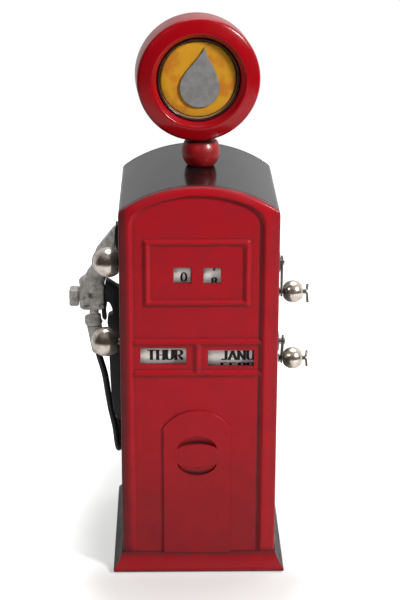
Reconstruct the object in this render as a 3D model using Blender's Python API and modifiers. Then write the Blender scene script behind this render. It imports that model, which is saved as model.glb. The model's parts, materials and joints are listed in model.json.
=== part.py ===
"""A desk perpetual calendar in the shape of an old petrol pump, built as separate parts.

X runs to the pump's right as seen from its front, Y to its back, Z up. The origin is on the
table, under the middle of the body.
"""
import math

import bmesh
import bpy
from mathutils import Matrix
from mathutils import Vector

MM = 0.001

# Gaps and fits
gap = 0.3 * MM
bore_clearance = 0.3 * MM
sink = 0.1 * MM

# Body
body_width = 60.0 * MM
body_depth = 66.8 * MM
shoulder_height = 147.7 * MM
arch_rise = 9.9 * MM
shoulder_radius = 1.2 * MM
wall = 1.0 * MM
arch_steps = 19

# Front panel
panel_thickness = 1.4 * MM
panel_rim_depth = 1.1 * MM
panel_rim_width = 1.2 * MM
bead_height = 0.8 * MM
bead_width = 4.2 * MM
arch_bead_inset = 4.0 * MM
arch_bead_drop = 2.4 * MM
digit_frame_x = -1.2 * MM
digit_frame_width = 36.4 * MM
digit_frame_height = 23.4 * MM
digit_frame_z = 124.3 * MM
rail_z = (83.9 * MM, 96.6 * MM)
mullion_x = -0.7 * MM
digit_window = (6.8 * MM, 6.4 * MM)
digit_window_spacing = 11.1 * MM
digit_window_z = 123.2 * MM
digit_window_step = 0.2 * MM
name_window = (17.6 * MM, 6.8 * MM)
name_window_spacing = 25.7 * MM
name_window_z = 90.5 * MM
name_window_step = 0.9 * MM
door_width = 26.0 * MM
door_x = -0.7 * MM
door_bottom = 7.6 * MM
door_spring = 61.6 * MM
door_rise = 7.0 * MM
door_height = 0.8 * MM
pull_width = 15.4 * MM
pull_depth = 0.6 * MM
pull_z = 49.6 * MM
boss_height = 2.0 * MM
boss_radius = 2.2 * MM

# Foot
skirt_flare = 3.7 * MM
skirt_height = 7.8 * MM
skirt_foot = 0.3 * MM
skirt_lip = 0.5 * MM
skirt_lip_width = 3.0 * MM
base_thickness = 1.0 * MM
pad_thickness = 0.8 * MM
foot_block = 8.0 * MM
foot_block_height = 8.0 * MM
flange_width = 4.5 * MM

# Screws
screw_radius = 0.9 * MM
screw_head_radius = 1.8 * MM
screw_head_height = 0.6 * MM
screw_length = 6.0 * MM
screw_margin = 0.6 * MM
rear_screw_length = 2.6 * MM

# Drums and axles
axle_y = -20.2 * MM
upper_axle_z = 124.3 * MM
lower_axle_z = 92.0 * MM
axle_radius = 1.2 * MM
drum_radius = 10.8 * MM
drum_width = 22.5 * MM
drum_rim = 1.2 * MM
drum_web = 1.2 * MM
hub_radius = 2.8 * MM
bracket_thickness = 3.0 * MM
drum_gap = 0.8 * MM
washer_thickness = 0.4 * MM
washer_radius = 3.2 * MM
bush_radius = 2.6 * MM
bush_flange_radius = 3.8 * MM
bush_flange = 0.7 * MM
bracket_tab = 8.0 * MM
tab_thickness = 1.2 * MM
bracket_margin = 6.0 * MM

# Knobs and cranks
knob_radius = 5.55 * MM
knob_cut = 1.2 * MM
knob_standoff = {"tens": 0.3 * MM, "weekday": 1.5 * MM}
knob_bore_depth = 4.0 * MM
crank_length = {"units": 12.0 * MM, "month": 11.4 * MM}
crank_thickness = 0.7 * MM
crank_axle_end = 2.4 * MM
crank_pin_end = 2.0 * MM
crank_standoff = {"units": 1.4 * MM, "month": 2.3 * MM}
crank_turn = {"units": 0.0, "month": math.radians(33)}
pin_legs = {"units": (3.6 * MM, 2.2 * MM), "month": (3.0 * MM, 2.0 * MM)}
bead_ball_radius = 4.3 * MM
bead_flat = 0.6 * MM
pin_radius = 0.85 * MM
pin_leg_radius = 0.5 * MM
pin_head_radius = 1.7 * MM
pin_head = 0.5 * MM

# Globe
globe_radius = 23.3 * MM
globe_depth = 16.0 * MM
globe_x = -0.3 * MM
globe_y = -1.0 * MM
globe_above_roof = 34.2 * MM
globe_wall = 1.8 * MM
globe_edge = 2.4 * MM
bezel_radius = 15.7 * MM
face_radius = 14.4 * MM
face_thickness = 1.2 * MM
emblem_height = 0.6 * MM
neck_radius = 7.0 * MM
neck_x = 0.9 * MM
neck_cut = 1.6 * MM
stud_radius = 1.5 * MM
nut_radius = 3.0 * MM
nut_height = 2.0 * MM

# Nozzle set, on the left side
nozzle_y = 0.0
block_standoff = 11.2 * MM
block_width = 8.7 * MM
block_depth = 7.6 * MM
block_height = 11.0 * MM
block_z = 104.2 * MM
spout_standoff = 2.2 * MM
peg_radius = 1.2 * MM
peg_length = 4.6 * MM
peg_z = 107.1 * MM
holder_depth = 6.0 * MM
trigger_thickness = 2.0 * MM
trigger_pin_offset = 3.2 * MM
trigger_pin_z = 100.8 * MM
trigger_pin_radius = 0.6 * MM
collar_radius = 3.4 * MM
collar_height = 3.2 * MM
collar_z = 93.6 * MM
coupling_z = (91.7 * MM, 79.8 * MM)
coupling_lean = 1.5 * MM
coupling_radii = (3.0 * MM, 2.4 * MM)

# Hose: route of its centre line
hose_radius = 1.3 * MM
hose_points = 36
hose_route = [
    (-39.65, 0.0, 79.35),
    (-39.1, 0.25, 76.9),
    (-37.4, 2.6, 69.0),
    (-36.4, 4.6, 60.4),
    (-35.2, 5.2, 52.2),
    (-33.7, 5.8, 44.4),
    (-32.95, 8.3, 35.8),
    (-32.6, 16.1, 30.5),
    (-32.6, 23.7, 35.8),
    (-32.8, 26.2, 44.4),
    (-33.0, 26.6, 51.0),
    (-33.0, 26.6, 58.0),
]
outlet_standoff = 3.0 * MM
outlet_y = 26.6 * MM
outlet_z = 58.0 * MM
outlet_radius = 2.1 * MM
outlet_length = 7.0 * MM
outlet_flange_radius = 3.4 * MM
outlet_flange = 0.8 * MM

# Places worked out from the sizes above
half_width = body_width / 2
half_depth = body_depth / 2
field_y = -half_depth
panel_back_y = field_y + panel_thickness
casing_front_y = panel_back_y + panel_rim_depth + gap
cover_front_y = half_depth - wall
casing_back_y = cover_front_y - gap
base_bottom = skirt_foot + skirt_lip + gap
base_top = base_bottom + base_thickness
body_bottom = base_top + gap
roof_z = shoulder_height + arch_rise
globe_z = roof_z + globe_above_roof
crank_start_x = {name: half_width + standoff for name, standoff in crank_standoff.items()}
drum_reach = bracket_thickness / 2 + drum_gap
drum_offset = drum_reach + drum_width / 2
globe_bottom = globe_z - globe_radius
neck_z = roof_z + neck_radius - neck_cut
bore_radius = axle_radius + bore_clearance
stud_bore = stud_radius + bore_clearance
block_x = -half_width - block_standoff
spout_end_x = -half_width - spout_standoff
block_right = block_x + block_width / 2
block_left = block_x - block_width / 2
trigger_pin = (block_x + trigger_pin_offset, trigger_pin_z)
coupling_top = (block_x, coupling_z[0])
coupling_bottom = (block_x + coupling_lean, coupling_z[1])
bead_bore = pin_radius + bore_clearance

finishes = {
    "red_paint": ((0.36, 0.012, 0.018), 0.32, 0.0),
    "dark_paint": ((0.03, 0.032, 0.035), 0.28, 0.0),
    "nickel": ((0.72, 0.68, 0.6), 0.16, 1.0),
    "steel": ((0.55, 0.55, 0.53), 0.35, 1.0),
    "brass": ((0.6, 0.44, 0.2), 0.35, 1.0),
    "cast_pewter": ((0.27, 0.27, 0.26), 0.5, 0.6),
    "black_plastic": ((0.012, 0.012, 0.013), 0.4, 0.0),
    "drum_plastic": ((0.78, 0.77, 0.73), 0.45, 0.0),
    "black_enamel": ((0.015, 0.013, 0.012), 0.25, 0.0),
    "yellow_enamel": ((0.62, 0.33, 0.02), 0.4, 0.0),
    "emblem_grey": ((0.32, 0.32, 0.33), 0.45, 0.2),
    "hose_rubber": ((0.012, 0.012, 0.013), 0.5, 0.0),
    "felt": ((0.03, 0.03, 0.03), 0.95, 0.0),
}


def clear_scene():
    for obj in list(bpy.data.objects):
        bpy.data.objects.remove(obj, do_unlink=True)


def new_collection(name):
    group = bpy.data.collections.new(name)
    bpy.context.scene.collection.children.link(group)
    return group


def finish(name, slot):
    """A material of the sub-part's own, in one of the listed finishes."""
    colour, roughness, metallic = finishes[slot]
    made = bpy.data.materials.new(name + "_" + slot)
    made.use_nodes = True
    shader = made.node_tree.nodes["Principled BSDF"]
    shader.inputs["Base Color"].default_value = (*colour, 1.0)
    shader.inputs["Roughness"].default_value = roughness
    shader.inputs["Metallic"].default_value = metallic
    made.diffuse_color = (*colour, 1.0)
    return made


def place(name, mesh, slot):
    """Adds a mesh as a part when it has a finish, and as a hidden cutter when it has none."""
    obj = bpy.data.objects.new(name, mesh)
    if slot:
        parts.objects.link(obj)
        mesh.materials.clear()
        mesh.materials.append(finish(name, slot))
        mesh.shade_smooth()
        mesh.set_sharp_from_angle(angle=math.radians(35))
    else:
        cutters.objects.link(obj)
        obj.hide_render = True
        obj.display_type = "WIRE"
    return obj


def from_bmesh(name, shape, slot):
    mesh = bpy.data.meshes.new(name)
    bmesh.ops.recalc_face_normals(shape, faces=shape.faces)
    shape.to_mesh(mesh)
    shape.free()
    return place(name, mesh, slot)


def move_to(obj, centre):
    obj.location = centre
    return obj


def box(name, slot, low, high, rounding=0.0, segments=2):
    """A box between two corners, with its edges rounded if asked."""
    low = Vector(low)
    high = Vector(high)
    shape = bmesh.new()
    bmesh.ops.create_cube(shape, size=1.0)
    size = high - low
    bmesh.ops.scale(shape, vec=size, verts=shape.verts)
    obj = from_bmesh(name, shape, slot)
    obj.location = (low + high) / 2
    if rounding:
        bevel = obj.modifiers.new("rounding", "BEVEL")
        bevel.width = rounding
        bevel.segments = segments
    return obj


def axis_turn(axis):
    """Turns local Z onto a named axis or onto a direction."""
    named = {"X": (1, 0, 0), "Y": (0, 1, 0), "Z": (0, 0, 1)}
    direction = Vector(named[axis] if isinstance(axis, str) else axis)
    return direction.to_track_quat("Z", "X").to_euler()


def rod(name, slot, radius, start, end, segments=16, end_radius=None):
    """A cylinder or cone between two points."""
    start = Vector(start)
    end = Vector(end)
    shape = bmesh.new()
    bmesh.ops.create_cone(
        shape,
        cap_ends=True,
        segments=segments,
        radius1=radius,
        radius2=radius if end_radius is None else end_radius,
        depth=(end - start).length,
    )
    obj = from_bmesh(name, shape, slot)
    obj.location = (start + end) / 2
    obj.rotation_euler = axis_turn(end - start)
    return obj


def turned(name, slot, profile, centre, axis="Z", steps=24, closed=False):
    """A turned shape. The profile holds (radius, height) pairs, top to bottom on the outside."""
    shape = bmesh.new()
    points = [shape.verts.new((radius, 0, height)) for radius, height in profile]
    for first, second in zip(points, points[1:]):
        shape.edges.new((first, second))
    if closed:
        shape.edges.new((points[-1], points[0]))
    mesh = bpy.data.meshes.new(name)
    shape.to_mesh(mesh)
    shape.free()
    obj = place(name, mesh, slot)
    spin = obj.modifiers.new("spin", "SCREW")
    spin.steps = steps
    spin.render_steps = steps
    spin.use_merge_vertices = True
    spin.merge_threshold = 0.00001
    obj.location = centre
    obj.rotation_euler = axis_turn(axis)
    return obj


def ring(name, slot, outer, inner, height, centre, axis="Z", steps=16):
    """A flat ring, centred on its own middle."""
    top = height / 2
    profile = [(outer, top), (outer, -top), (inner, -top), (inner, top)]
    return turned(name, slot, profile, centre, axis, steps, closed=True)


def evaluated_mesh(obj):
    """The mesh of a curve as drawn, with its caps welded and its faces pointing out."""
    bpy.context.view_layer.update()
    seen = obj.evaluated_get(bpy.context.evaluated_depsgraph_get())
    mesh = bpy.data.meshes.new_from_object(seen)
    shape = bmesh.new()
    shape.from_mesh(mesh)
    bmesh.ops.remove_doubles(shape, verts=shape.verts, dist=0.000001)
    bmesh.ops.recalc_face_normals(shape, faces=shape.faces)
    shape.to_mesh(mesh)
    shape.free()
    mesh.name = obj.name
    return mesh


def curve_to_part(name, slot, curve, turn=None):
    """Turns a curve into a mesh part; turn is a matrix that the points are moved by."""
    guide = bpy.data.objects.new(name + "_guide", curve)
    cutters.objects.link(guide)
    mesh = evaluated_mesh(guide)
    bpy.data.objects.remove(guide, do_unlink=True)
    if turn is not None:
        mesh.transform(turn)
    return place(name, mesh, slot)


def poly_spline(curve, points, cyclic):
    spline = curve.splines.new("POLY")
    spline.points.add(len(points) - 1)
    for target, point in zip(spline.points, points):
        padded = tuple(point) + (0.0,) * (3 - len(point))
        target.co = (*padded, 1.0)
    spline.use_cyclic_u = cyclic
    return spline


planes = {
    "XZ": Matrix(((1, 0, 0, 0), (0, 0, -1, 0), (0, 1, 0, 0), (0, 0, 0, 1))),
    "YZ": Matrix(((0, 0, 1, 0), (1, 0, 0, 0), (0, 1, 0, 0), (0, 0, 0, 1))),
    "XY": Matrix.Identity(4),
}


def plate(name, slot, outlines, thickness, plane, middle):
    """A flat plate from closed outlines; the ones inside another are holes."""
    curve = bpy.data.curves.new(name, "CURVE")
    curve.dimensions = "2D"
    curve.fill_mode = "BOTH"
    curve.extrude = thickness / 2
    for outline in outlines:
        poly_spline(curve, outline, True)
    obj = curve_to_part(name, slot, curve, planes[plane])
    return move_to(obj, middle)


def tube(name, slot, points, radius, resolution=2, cyclic=False, flatten=None):
    """A round bar along points; flatten squashes it to a bead of a height on the front."""
    curve = bpy.data.curves.new(name, "CURVE")
    curve.dimensions = "3D"
    curve.bevel_depth = radius
    curve.bevel_resolution = resolution
    curve.use_fill_caps = True
    poly_spline(curve, points, cyclic)
    turn = None
    if flatten is not None:
        low = Matrix.Translation((0, -field_y, 0))
        squash = Matrix.Diagonal((1, (flatten + sink) / radius, 1, 1))
        turn = Matrix.Translation((0, sink, 0)) @ low.inverted() @ squash @ low
    return curve_to_part(name, slot, curve, turn)


def boolean(target, tool, operation):
    change = target.modifiers.new(operation.lower(), "BOOLEAN")
    change.operation = operation
    change.object = tool
    change.solver = "EXACT"
    return target


def cut(target, *tools):
    for tool in tools:
        boolean(target, tool, "DIFFERENCE")
    return target


def join(target, *tools):
    for tool in tools:
        boolean(target, tool, "UNION")
    return target


def arc(centre, radius, start, end, steps):
    """Points on an arc, angles in degrees from +X."""
    points = []
    for step in range(steps + 1):
        angle = math.radians(start + (end - start) * step / steps)
        x = centre[0] + radius * math.cos(angle)
        y = centre[1] + radius * math.sin(angle)
        points.append((x, y))
    return points


def segment_arc(half, spring, rise, steps):
    """A shallow arch from (half, spring) over the middle to (-half, spring)."""
    radius = (half * half + rise * rise) / (2 * rise)
    reach = math.degrees(math.asin(half / radius))
    centre = (0.0, spring + rise - radius)
    return arc(centre, radius, 90 - reach, 90 + reach, steps)


def arch_line(inset, bottom):
    """The body's outline without its bottom edge, up the right side and over to the left."""
    half = half_width - inset
    top = segment_arc(half, shoulder_height - inset, arch_rise, arch_steps)
    softening = shoulder_radius * 0.7
    first = (half, shoulder_height - inset - softening)
    last = (-half, shoulder_height - inset - softening)
    corner_right = (half - softening * 0.3, shoulder_height - inset - softening * 0.25)
    corner_left = (-corner_right[0], corner_right[1])
    return [(half, bottom), first, corner_right, *top[1:-1], corner_left, last, (-half, bottom)]


def rectangle(width, height, centre=(0.0, 0.0)):
    x = width / 2
    y = height / 2
    corners = [(-x, -y), (x, -y), (x, y), (-x, y)]
    return [(centre[0] + a, centre[1] + b) for a, b in corners]


def rounded_rectangle(width, height, centre, radius):
    points = []
    x = width / 2 - radius
    y = height / 2 - radius
    for sign_x, sign_y, start in ((1, -1, -90), (1, 1, 0), (-1, 1, 90), (-1, -1, 180)):
        middle = (centre[0] + sign_x * x, centre[1] + sign_y * y)
        points += arc(middle, radius, start, start + 90, 3)
    return points


def skirt_solid(name, slot):
    """The whole flared foot as one solid with mitred corners."""
    profile = [
        (skirt_flare - 0.5 * MM, skirt_foot),
        (skirt_flare, skirt_foot + 0.6 * MM),
        (skirt_flare, skirt_foot + 1.5 * MM),
        (skirt_flare * 0.55, skirt_height * 0.5),
        (skirt_flare * 0.3, skirt_height * 0.75),
        (skirt_flare * 0.12, skirt_height),
    ]
    shape = bmesh.new()
    rings = []
    for flare, height in profile:
        corners = rectangle(body_width + 2 * flare, body_depth + 2 * flare)
        rings.append([shape.verts.new((x, y, height)) for x, y in corners])
    for lower, upper in zip(rings, rings[1:]):
        for side in range(4):
            after = (side + 1) % 4
            shape.faces.new((lower[side], lower[after], upper[after], upper[side]))
    shape.faces.new(rings[0])
    shape.faces.new(rings[-1])
    return from_bmesh(name, shape, slot)


def skirt_frame(name, slot):
    """The flared foot hollowed out for the body and the base plate, with a lip under the plate."""
    frame = skirt_solid(name, slot)
    inside_x = half_width + gap
    inside_y = half_depth + gap
    upper_cut = box(
        name + "_well",
        None,
        (-inside_x, -inside_y, skirt_foot + skirt_lip),
        (inside_x, inside_y, skirt_height * 2),
    )
    lip_x = half_width - skirt_lip_width
    lip_y = half_depth - skirt_lip_width
    lower_cut = box(name + "_floor", None, (-lip_x, -lip_y, -skirt_foot), (lip_x, lip_y, skirt_height))
    return cut(frame, upper_cut, lower_cut)


def front_wedge(name, shrink, back_y):
    """The room in front of the two corner mitres, as far back as back_y."""
    outer_x = half_width + skirt_flare + 2 * MM
    outer_y = half_depth + skirt_flare + 2 * MM
    reach = back_y + outer_y
    outline = [
        (-outer_x + shrink, -outer_y),
        (outer_x - shrink, -outer_y),
        (outer_x - reach - shrink, back_y),
        (-outer_x + reach + shrink, back_y),
    ]
    return plate(name, None, [outline], skirt_height * 3, "XY", (0, 0, 0))


def door_outline(inset=0.0):
    half = door_width / 2 - inset
    top = segment_arc(half, door_spring - inset, door_rise, 8)
    outline = [(half, door_bottom + inset), *top, (-half, door_bottom + inset)]
    return [(door_x + x, z) for x, z in outline]


def crescent(sign):
    """Half of the finger pull: a pocket between two arcs that share their ends."""
    half = pull_width / 2
    outer = segment_arc(half, 0.0, 5.4 * MM, 8)
    inner = segment_arc(half, 0.0, 2.4 * MM, 8)
    outline = outer + inner[::-1][1:-1]
    return [(door_x + x, pull_z + sign * (2.8 * MM + z)) for x, z in outline]


def window_holes():
    """The four window outlines, upper pair first."""
    holes = []
    for size, spacing, z, step in (
        (digit_window, digit_window_spacing, digit_window_z, digit_window_step),
        (name_window, name_window_spacing, name_window_z, name_window_step),
    ):
        for sign in (-1, 1):
            centre = (mullion_x + sign * spacing / 2, z - sign * step / 2)
            holes.append(rectangle(size[0], size[1], centre))
    return holes


def front_beads():
    """The raised mouldings, as half-round bars lying in the plane of the panel."""
    radius = bead_width / 2
    half = half_width - arch_bead_inset
    bottom = (half, skirt_height - 1 * MM)
    turn = [(half, shoulder_height - 8 * MM), (half - 0.4 * MM, shoulder_height - 4 * MM)]
    turn.append((half - 1.7 * MM, shoulder_height - 0.6 * MM))
    over = segment_arc(half_width, shoulder_height - arch_bead_drop, arch_rise, arch_steps)
    top = [point for point in over if abs(point[0]) < half - 3 * MM]
    back_down = [(-x, z) for x, z in [bottom, *turn][::-1]]
    line = [bottom, *turn, *top, *back_down]
    paths = [("arch_bead", line, False)]
    corner = bead_width / 2 + 0.6 * MM
    frame = rounded_rectangle(digit_frame_width, digit_frame_height, (digit_frame_x, digit_frame_z), corner)
    paths.append(("digit_bead", frame, True))
    for number, z in enumerate(rail_z):
        rail = [(-half, z), (half, z)]
        paths.append(("rail_bead_" + str(number), rail, False))
    mullion = [(mullion_x, z) for z in rail_z]
    paths.append(("mullion_bead", mullion, False))
    beads = []
    for name, points, cyclic in paths:
        placed = [(x, field_y, z) for x, z in points]
        beads.append(tube(name, None, placed, radius, 4, cyclic, bead_height))
    return beads


def panel_pocket():
    """The room behind the plate, inside its rim."""
    inner = arch_line(panel_rim_width, body_bottom + panel_rim_width)
    middle = (0, panel_back_y + panel_rim_depth, 0)
    return plate("panel_pocket", None, [inner], 2 * panel_rim_depth, "XZ", middle)


def bracket_screw_points():
    """Where the drum bracket is screwed to the back of the front panel, as (x, z)."""
    top = upper_axle_z + drum_radius + bracket_margin
    bottom = lower_axle_z - drum_radius - bracket_margin
    return [(mullion_x, bottom), (mullion_x, top)]


def foot_block_at(name, sign, x_high, y_low, y_high):
    """A block at the bottom corner on one side that takes a base screw."""
    x_low = x_high - foot_block
    low = (min(sign * x_low, sign * x_high), y_low, body_bottom + sink)
    high = (max(sign * x_low, sign * x_high), y_high, body_bottom + foot_block_height)
    return box(name, None, low, high)


def base_screw_points():
    inset = skirt_lip_width + 2 * gap + screw_head_radius + screw_margin
    x = half_width - inset
    y = half_depth - inset
    return [(-x, -y), (x, -y), (-x, y), (x, y)]


def screw_holes(target, points, prefix):
    """Blind holes for the base screws that go up into the foot blocks."""
    for number, (x, y) in points:
        start = (x, y, body_bottom - gap)
        end = (x, y, base_bottom + screw_length + gap)
        hole = rod(prefix + str(number), None, screw_radius + gap, start, end, 12)
        cut(target, hole)


def front_skirt():
    """The skirt's front length: solid, mitred at the corners and clear of the base plate."""
    skirt = skirt_solid("front_skirt", None)
    boolean(skirt, front_wedge("front_part", 0.05 * MM, field_y + panel_thickness / 2), "INTERSECT")
    low = (-body_width, -half_depth - gap, -MM)
    high = (body_width, 0, body_bottom + sink)
    return cut(skirt, box("base_room", None, low, high))


def front_panel():
    """The red front: plate with windows, rim, mouldings, door and its length of the skirt."""
    depth = panel_thickness + panel_rim_depth
    middle = (0, field_y + depth / 2, 0)
    outline = arch_line(0.0, body_bottom)
    panel = plate("front_panel", "red_paint", [outline, *window_holes()], depth, "XZ", middle)
    cut(panel, panel_pocket())
    join(panel, *front_beads())
    door_depth = door_height + panel_thickness / 2
    door_middle = (0, field_y - door_height + door_depth / 2, 0)
    join(panel, plate("door", None, [door_outline()], door_depth, "XZ", door_middle))
    for sign in (-1, 1):
        front = (0, field_y - door_height, 0)
        cut(panel, plate("pull" + str(sign), None, [crescent(sign)], 2 * pull_depth, "XZ", front))
    join(panel, front_skirt())
    for number, (x, z) in enumerate(bracket_screw_points()):
        start = (x, panel_back_y - panel_thickness / 2, z)
        end = (x, panel_back_y + boss_height, z)
        join(panel, rod("bracket_boss_" + str(number), None, boss_radius, start, end))
        cut(panel, bracket_screw_hole(x, z, number))
    for sign in (-1, 1):
        low = panel_back_y - panel_thickness / 2
        high = panel_back_y + foot_block
        join(panel, foot_block_at("panel_foot" + str(sign), sign, half_width - wall - gap, low, high))
    screw_holes(panel, list(enumerate(base_screw_points()))[:2], "panel_screw_hole_")
    return panel


def bracket_screw_hole(x, z, number):
    start = (x, panel_back_y - panel_thickness / 4, z)
    end = (x, panel_back_y + 4 * MM, z)
    return rod("bracket_hole_" + str(number), None, screw_radius + gap, start, end, 12)


def rear_screw_points():
    x = half_width - flange_width / 2
    return [(side * x, z) for z in (14 * MM, shoulder_height - 8 * MM) for side in (-1, 1)]


def casing():
    """Sides and roof in one, with the return flange at the back that takes the rear screws."""
    length = casing_back_y - casing_front_y
    middle = (0, casing_front_y + length / 2, 0)
    outline = arch_line(0.0, body_bottom)
    shell = plate("casing", "dark_paint", [outline], length, "XZ", middle)
    inner = arch_line(wall, body_bottom - wall)
    cavity = plate("casing_cavity", None, [inner], length, "XZ", (0, middle[1] - wall, 0))
    opening = arch_line(flange_width, body_bottom + flange_width)
    cut(shell, cavity, plate("casing_opening", None, [opening], 4 * wall, "XZ", (0, casing_back_y, 0)))
    for sign in (-1, 1):
        low = casing_back_y - foot_block
        high = casing_back_y - wall / 2
        join(shell, foot_block_at("casing_foot" + str(sign), sign, half_width - wall / 2, low, high))
    for name, side, z in drum_places():
        start = (side * (half_width - 3 * wall), axle_y, z)
        end = (side * (half_width + wall), axle_y, z)
        cut(shell, rod(name + "_wall_hole", None, bush_radius + gap, start, end))
    low = (neck_x, 0, roof_z - 4 * wall)
    cut(shell, rod("roof_hole", None, stud_bore, low, (neck_x, 0, roof_z + wall)))
    screw_holes(shell, list(enumerate(base_screw_points()))[2:], "casing_screw_hole_")
    for number, (x, z) in enumerate(rear_screw_points()):
        start = (x, casing_back_y - 2 * wall, z)
        end = (x, casing_back_y + wall, z)
        cut(shell, rod("flange_hole_" + str(number), None, screw_radius + gap, start, end, 12))
    return shell


def drum_places():
    """Name, side (-1 is left) and height of the four drums."""
    return [
        ("tens", -1, upper_axle_z),
        ("units", 1, upper_axle_z),
        ("weekday", -1, lower_axle_z),
        ("month", 1, lower_axle_z),
    ]


def rear_cover():
    middle = (0, half_depth - wall / 2, 0)
    cover = plate("rear_cover", "dark_paint", [arch_line(0.0, body_bottom)], wall, "XZ", middle)
    for number, (x, z) in enumerate(rear_screw_points()):
        start = (x, cover_front_y - wall, z)
        end = (x, half_depth + wall, z)
        cut(cover, rod("cover_hole_" + str(number), None, screw_radius + gap, start, end, 12))
    return cover


def side_skirt():
    """The flared skirt along the two sides and the back."""
    skirt = skirt_frame("side_skirt", "dark_paint")
    back_y = -half_depth + skirt_lip_width + 2 * MM
    return cut(skirt, front_wedge("side_part", -gap, back_y))


def base_plate():
    low = (-half_width, -half_depth, base_bottom)
    high = (half_width, half_depth, base_top)
    base = box("base_plate", "steel", low, high)
    for number, (x, y) in enumerate(base_screw_points()):
        hole = rod("base_hole_" + str(number), None, screw_radius + gap, (x, y, 0), (x, y, base_top * 2), 12)
        cut(base, hole)
    return base


def base_pad():
    inset = skirt_lip_width + gap
    outline = rectangle(body_width - 2 * inset, body_depth - 2 * inset)
    pad = plate("base_pad", "felt", [outline], pad_thickness, "XY", (0, 0, pad_thickness / 2))
    for number, (x, y) in enumerate(base_screw_points()):
        radius = screw_head_radius + gap
        hole = rod("pad_hole_" + str(number), None, radius, (x, y, -MM), (x, y, 2 * MM), 12)
        cut(pad, hole)
    return pad


def screw(name, seat, direction, length):
    """A pan-head screw whose head rests on the seat and whose shank runs along direction."""
    top = -gap
    profile = [
        (0.0, length),
        (screw_radius, length),
        (screw_radius, top),
        (screw_head_radius, top),
        (screw_head_radius * 0.85, top - screw_head_height),
        (0.0, top - screw_head_height),
    ]
    return turned(name, "steel", profile, seat, direction, 10)


def screws():
    for number, (x, y) in enumerate(base_screw_points(), 1):
        screw("base_screw_" + str(number), (x, y, base_bottom), (0, 0, 1), screw_length)
    for number, (x, z) in enumerate(rear_screw_points(), 1):
        screw("rear_screw_" + str(number), (x, half_depth, z), (0, -1, 0), rear_screw_length)
    tab_back = panel_back_y + boss_height + gap + tab_thickness
    for number, (x, z) in enumerate(bracket_screw_points(), 1):
        screw("bracket_screw_" + str(number), (x, tab_back, z), (0, -1, 0), 3.4 * MM)


def drum_bracket():
    """The middle plate between the drums, with a tab at each end on the panel's bosses."""
    points = bracket_screw_points()
    front = panel_back_y + gap
    back = axle_y + 5 * MM
    low = points[0][1] - bracket_tab / 2
    high = points[1][1] + bracket_tab / 2
    half = bracket_thickness / 2
    notch = bracket_tab + 1 * MM
    lower = (mullion_x - half, front, low + notch)
    upper = (mullion_x + half, back, high - notch)
    bracket = box("drum_bracket", "steel", lower, upper)
    tab_front = panel_back_y + boss_height + gap
    for number, (x, z) in enumerate(points):
        inner = z + (bracket_tab if number == 0 else -bracket_tab)
        tab_low = (x - bracket_tab / 2, tab_front, min(z - bracket_tab / 2, inner))
        tab_high = (x + bracket_tab / 2, tab_front + tab_thickness, max(z + bracket_tab / 2, inner))
        join(bracket, box("bracket_tab_" + str(number), None, tab_low, tab_high))
        start = (x, tab_front - MM, z)
        end = (x, tab_front + 3 * MM, z)
        cut(bracket, rod("tab_hole_" + str(number), None, screw_radius + gap, start, end, 12))
    for number, z in enumerate((upper_axle_z, lower_axle_z)):
        start = (mullion_x - 2 * half, axle_y, z)
        end = (mullion_x + 2 * half, axle_y, z)
        cut(bracket, rod("bearing_hole_" + str(number), None, bore_radius, start, end))
    return bracket


def drum(name, side, z):
    """A drum that carries a printed band, with its web and hub."""
    half = drum_width / 2
    inside = drum_radius - drum_rim
    web = drum_web / 2
    profile = [
        (drum_radius, half),
        (drum_radius, -half),
        (inside, -half),
        (inside, -web),
        (hub_radius, -web),
        (hub_radius, -half),
        (bore_radius, -half),
        (bore_radius, half),
        (hub_radius, half),
        (hub_radius, web),
        (inside, web),
        (inside, half),
    ]
    centre = (mullion_x + side * drum_offset, axle_y, z)
    return turned(name + "_drum", "drum_plastic", profile, centre, "X", 24, closed=True)


def axle(name, side, z):
    inner = mullion_x + side * 0.25 * MM
    if side < 0:
        outer = knob_seat(name) - knob_bore_depth + gap
    else:
        outer = crank_start_x[name] + crank_thickness + 0.6 * MM
    start = (min(inner, outer), axle_y, z)
    end = (max(inner, outer), axle_y, z)
    return rod(name + "_axle", "steel", axle_radius, start, end, 16)


def bush(name, side, z):
    """A flanged bush in the side wall; its flange is inside on the left, outside on the right."""
    drum_end = mullion_x + side * (drum_reach + drum_width)
    inner = abs(drum_end + side * (2 * gap + washer_thickness))
    if side < 0:
        outer = half_width - 0.1 * MM
        flange = (half_width - wall - gap - bush_flange, half_width - wall - gap)
        profile = [
            (bush_radius, outer),
            (bush_radius, flange[1]),
            (bush_flange_radius, flange[1]),
            (bush_flange_radius, flange[0]),
            (bush_radius, flange[0]),
            (bush_radius, inner),
            (bore_radius, inner),
            (bore_radius, outer),
        ]
    else:
        outer = half_width + gap + bush_flange
        profile = [
            (bush_flange_radius, outer),
            (bush_flange_radius, outer - bush_flange),
            (bush_radius, outer - bush_flange),
            (bush_radius, inner),
            (bore_radius, inner),
            (bore_radius, outer),
        ]
    return turned(name + "_bush", "brass", profile, (0, axle_y, z), (side, 0, 0), 16, closed=True)


def washer(name, side, z):
    drum_end = mullion_x + side * (drum_reach + drum_width)
    x = drum_end + side * (gap + washer_thickness / 2)
    return ring(name + "_washer", "steel", washer_radius, bore_radius, washer_thickness, (x, axle_y, z), "X")


def ball_profile(radius, low_cut, high_cut, steps):
    """The outside of a ball between two flats, from its top flat down."""
    first = math.acos(high_cut / radius)
    last = math.pi - math.acos(low_cut / radius)
    profile = []
    for step in range(steps + 1):
        angle = first + (last - first) * step / steps
        profile.append((radius * math.sin(angle), radius * math.cos(angle)))
    return profile


def knob_seat(name):
    """Where a knob's flat stands, left of the wall."""
    return -half_width - knob_standoff[name]


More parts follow.
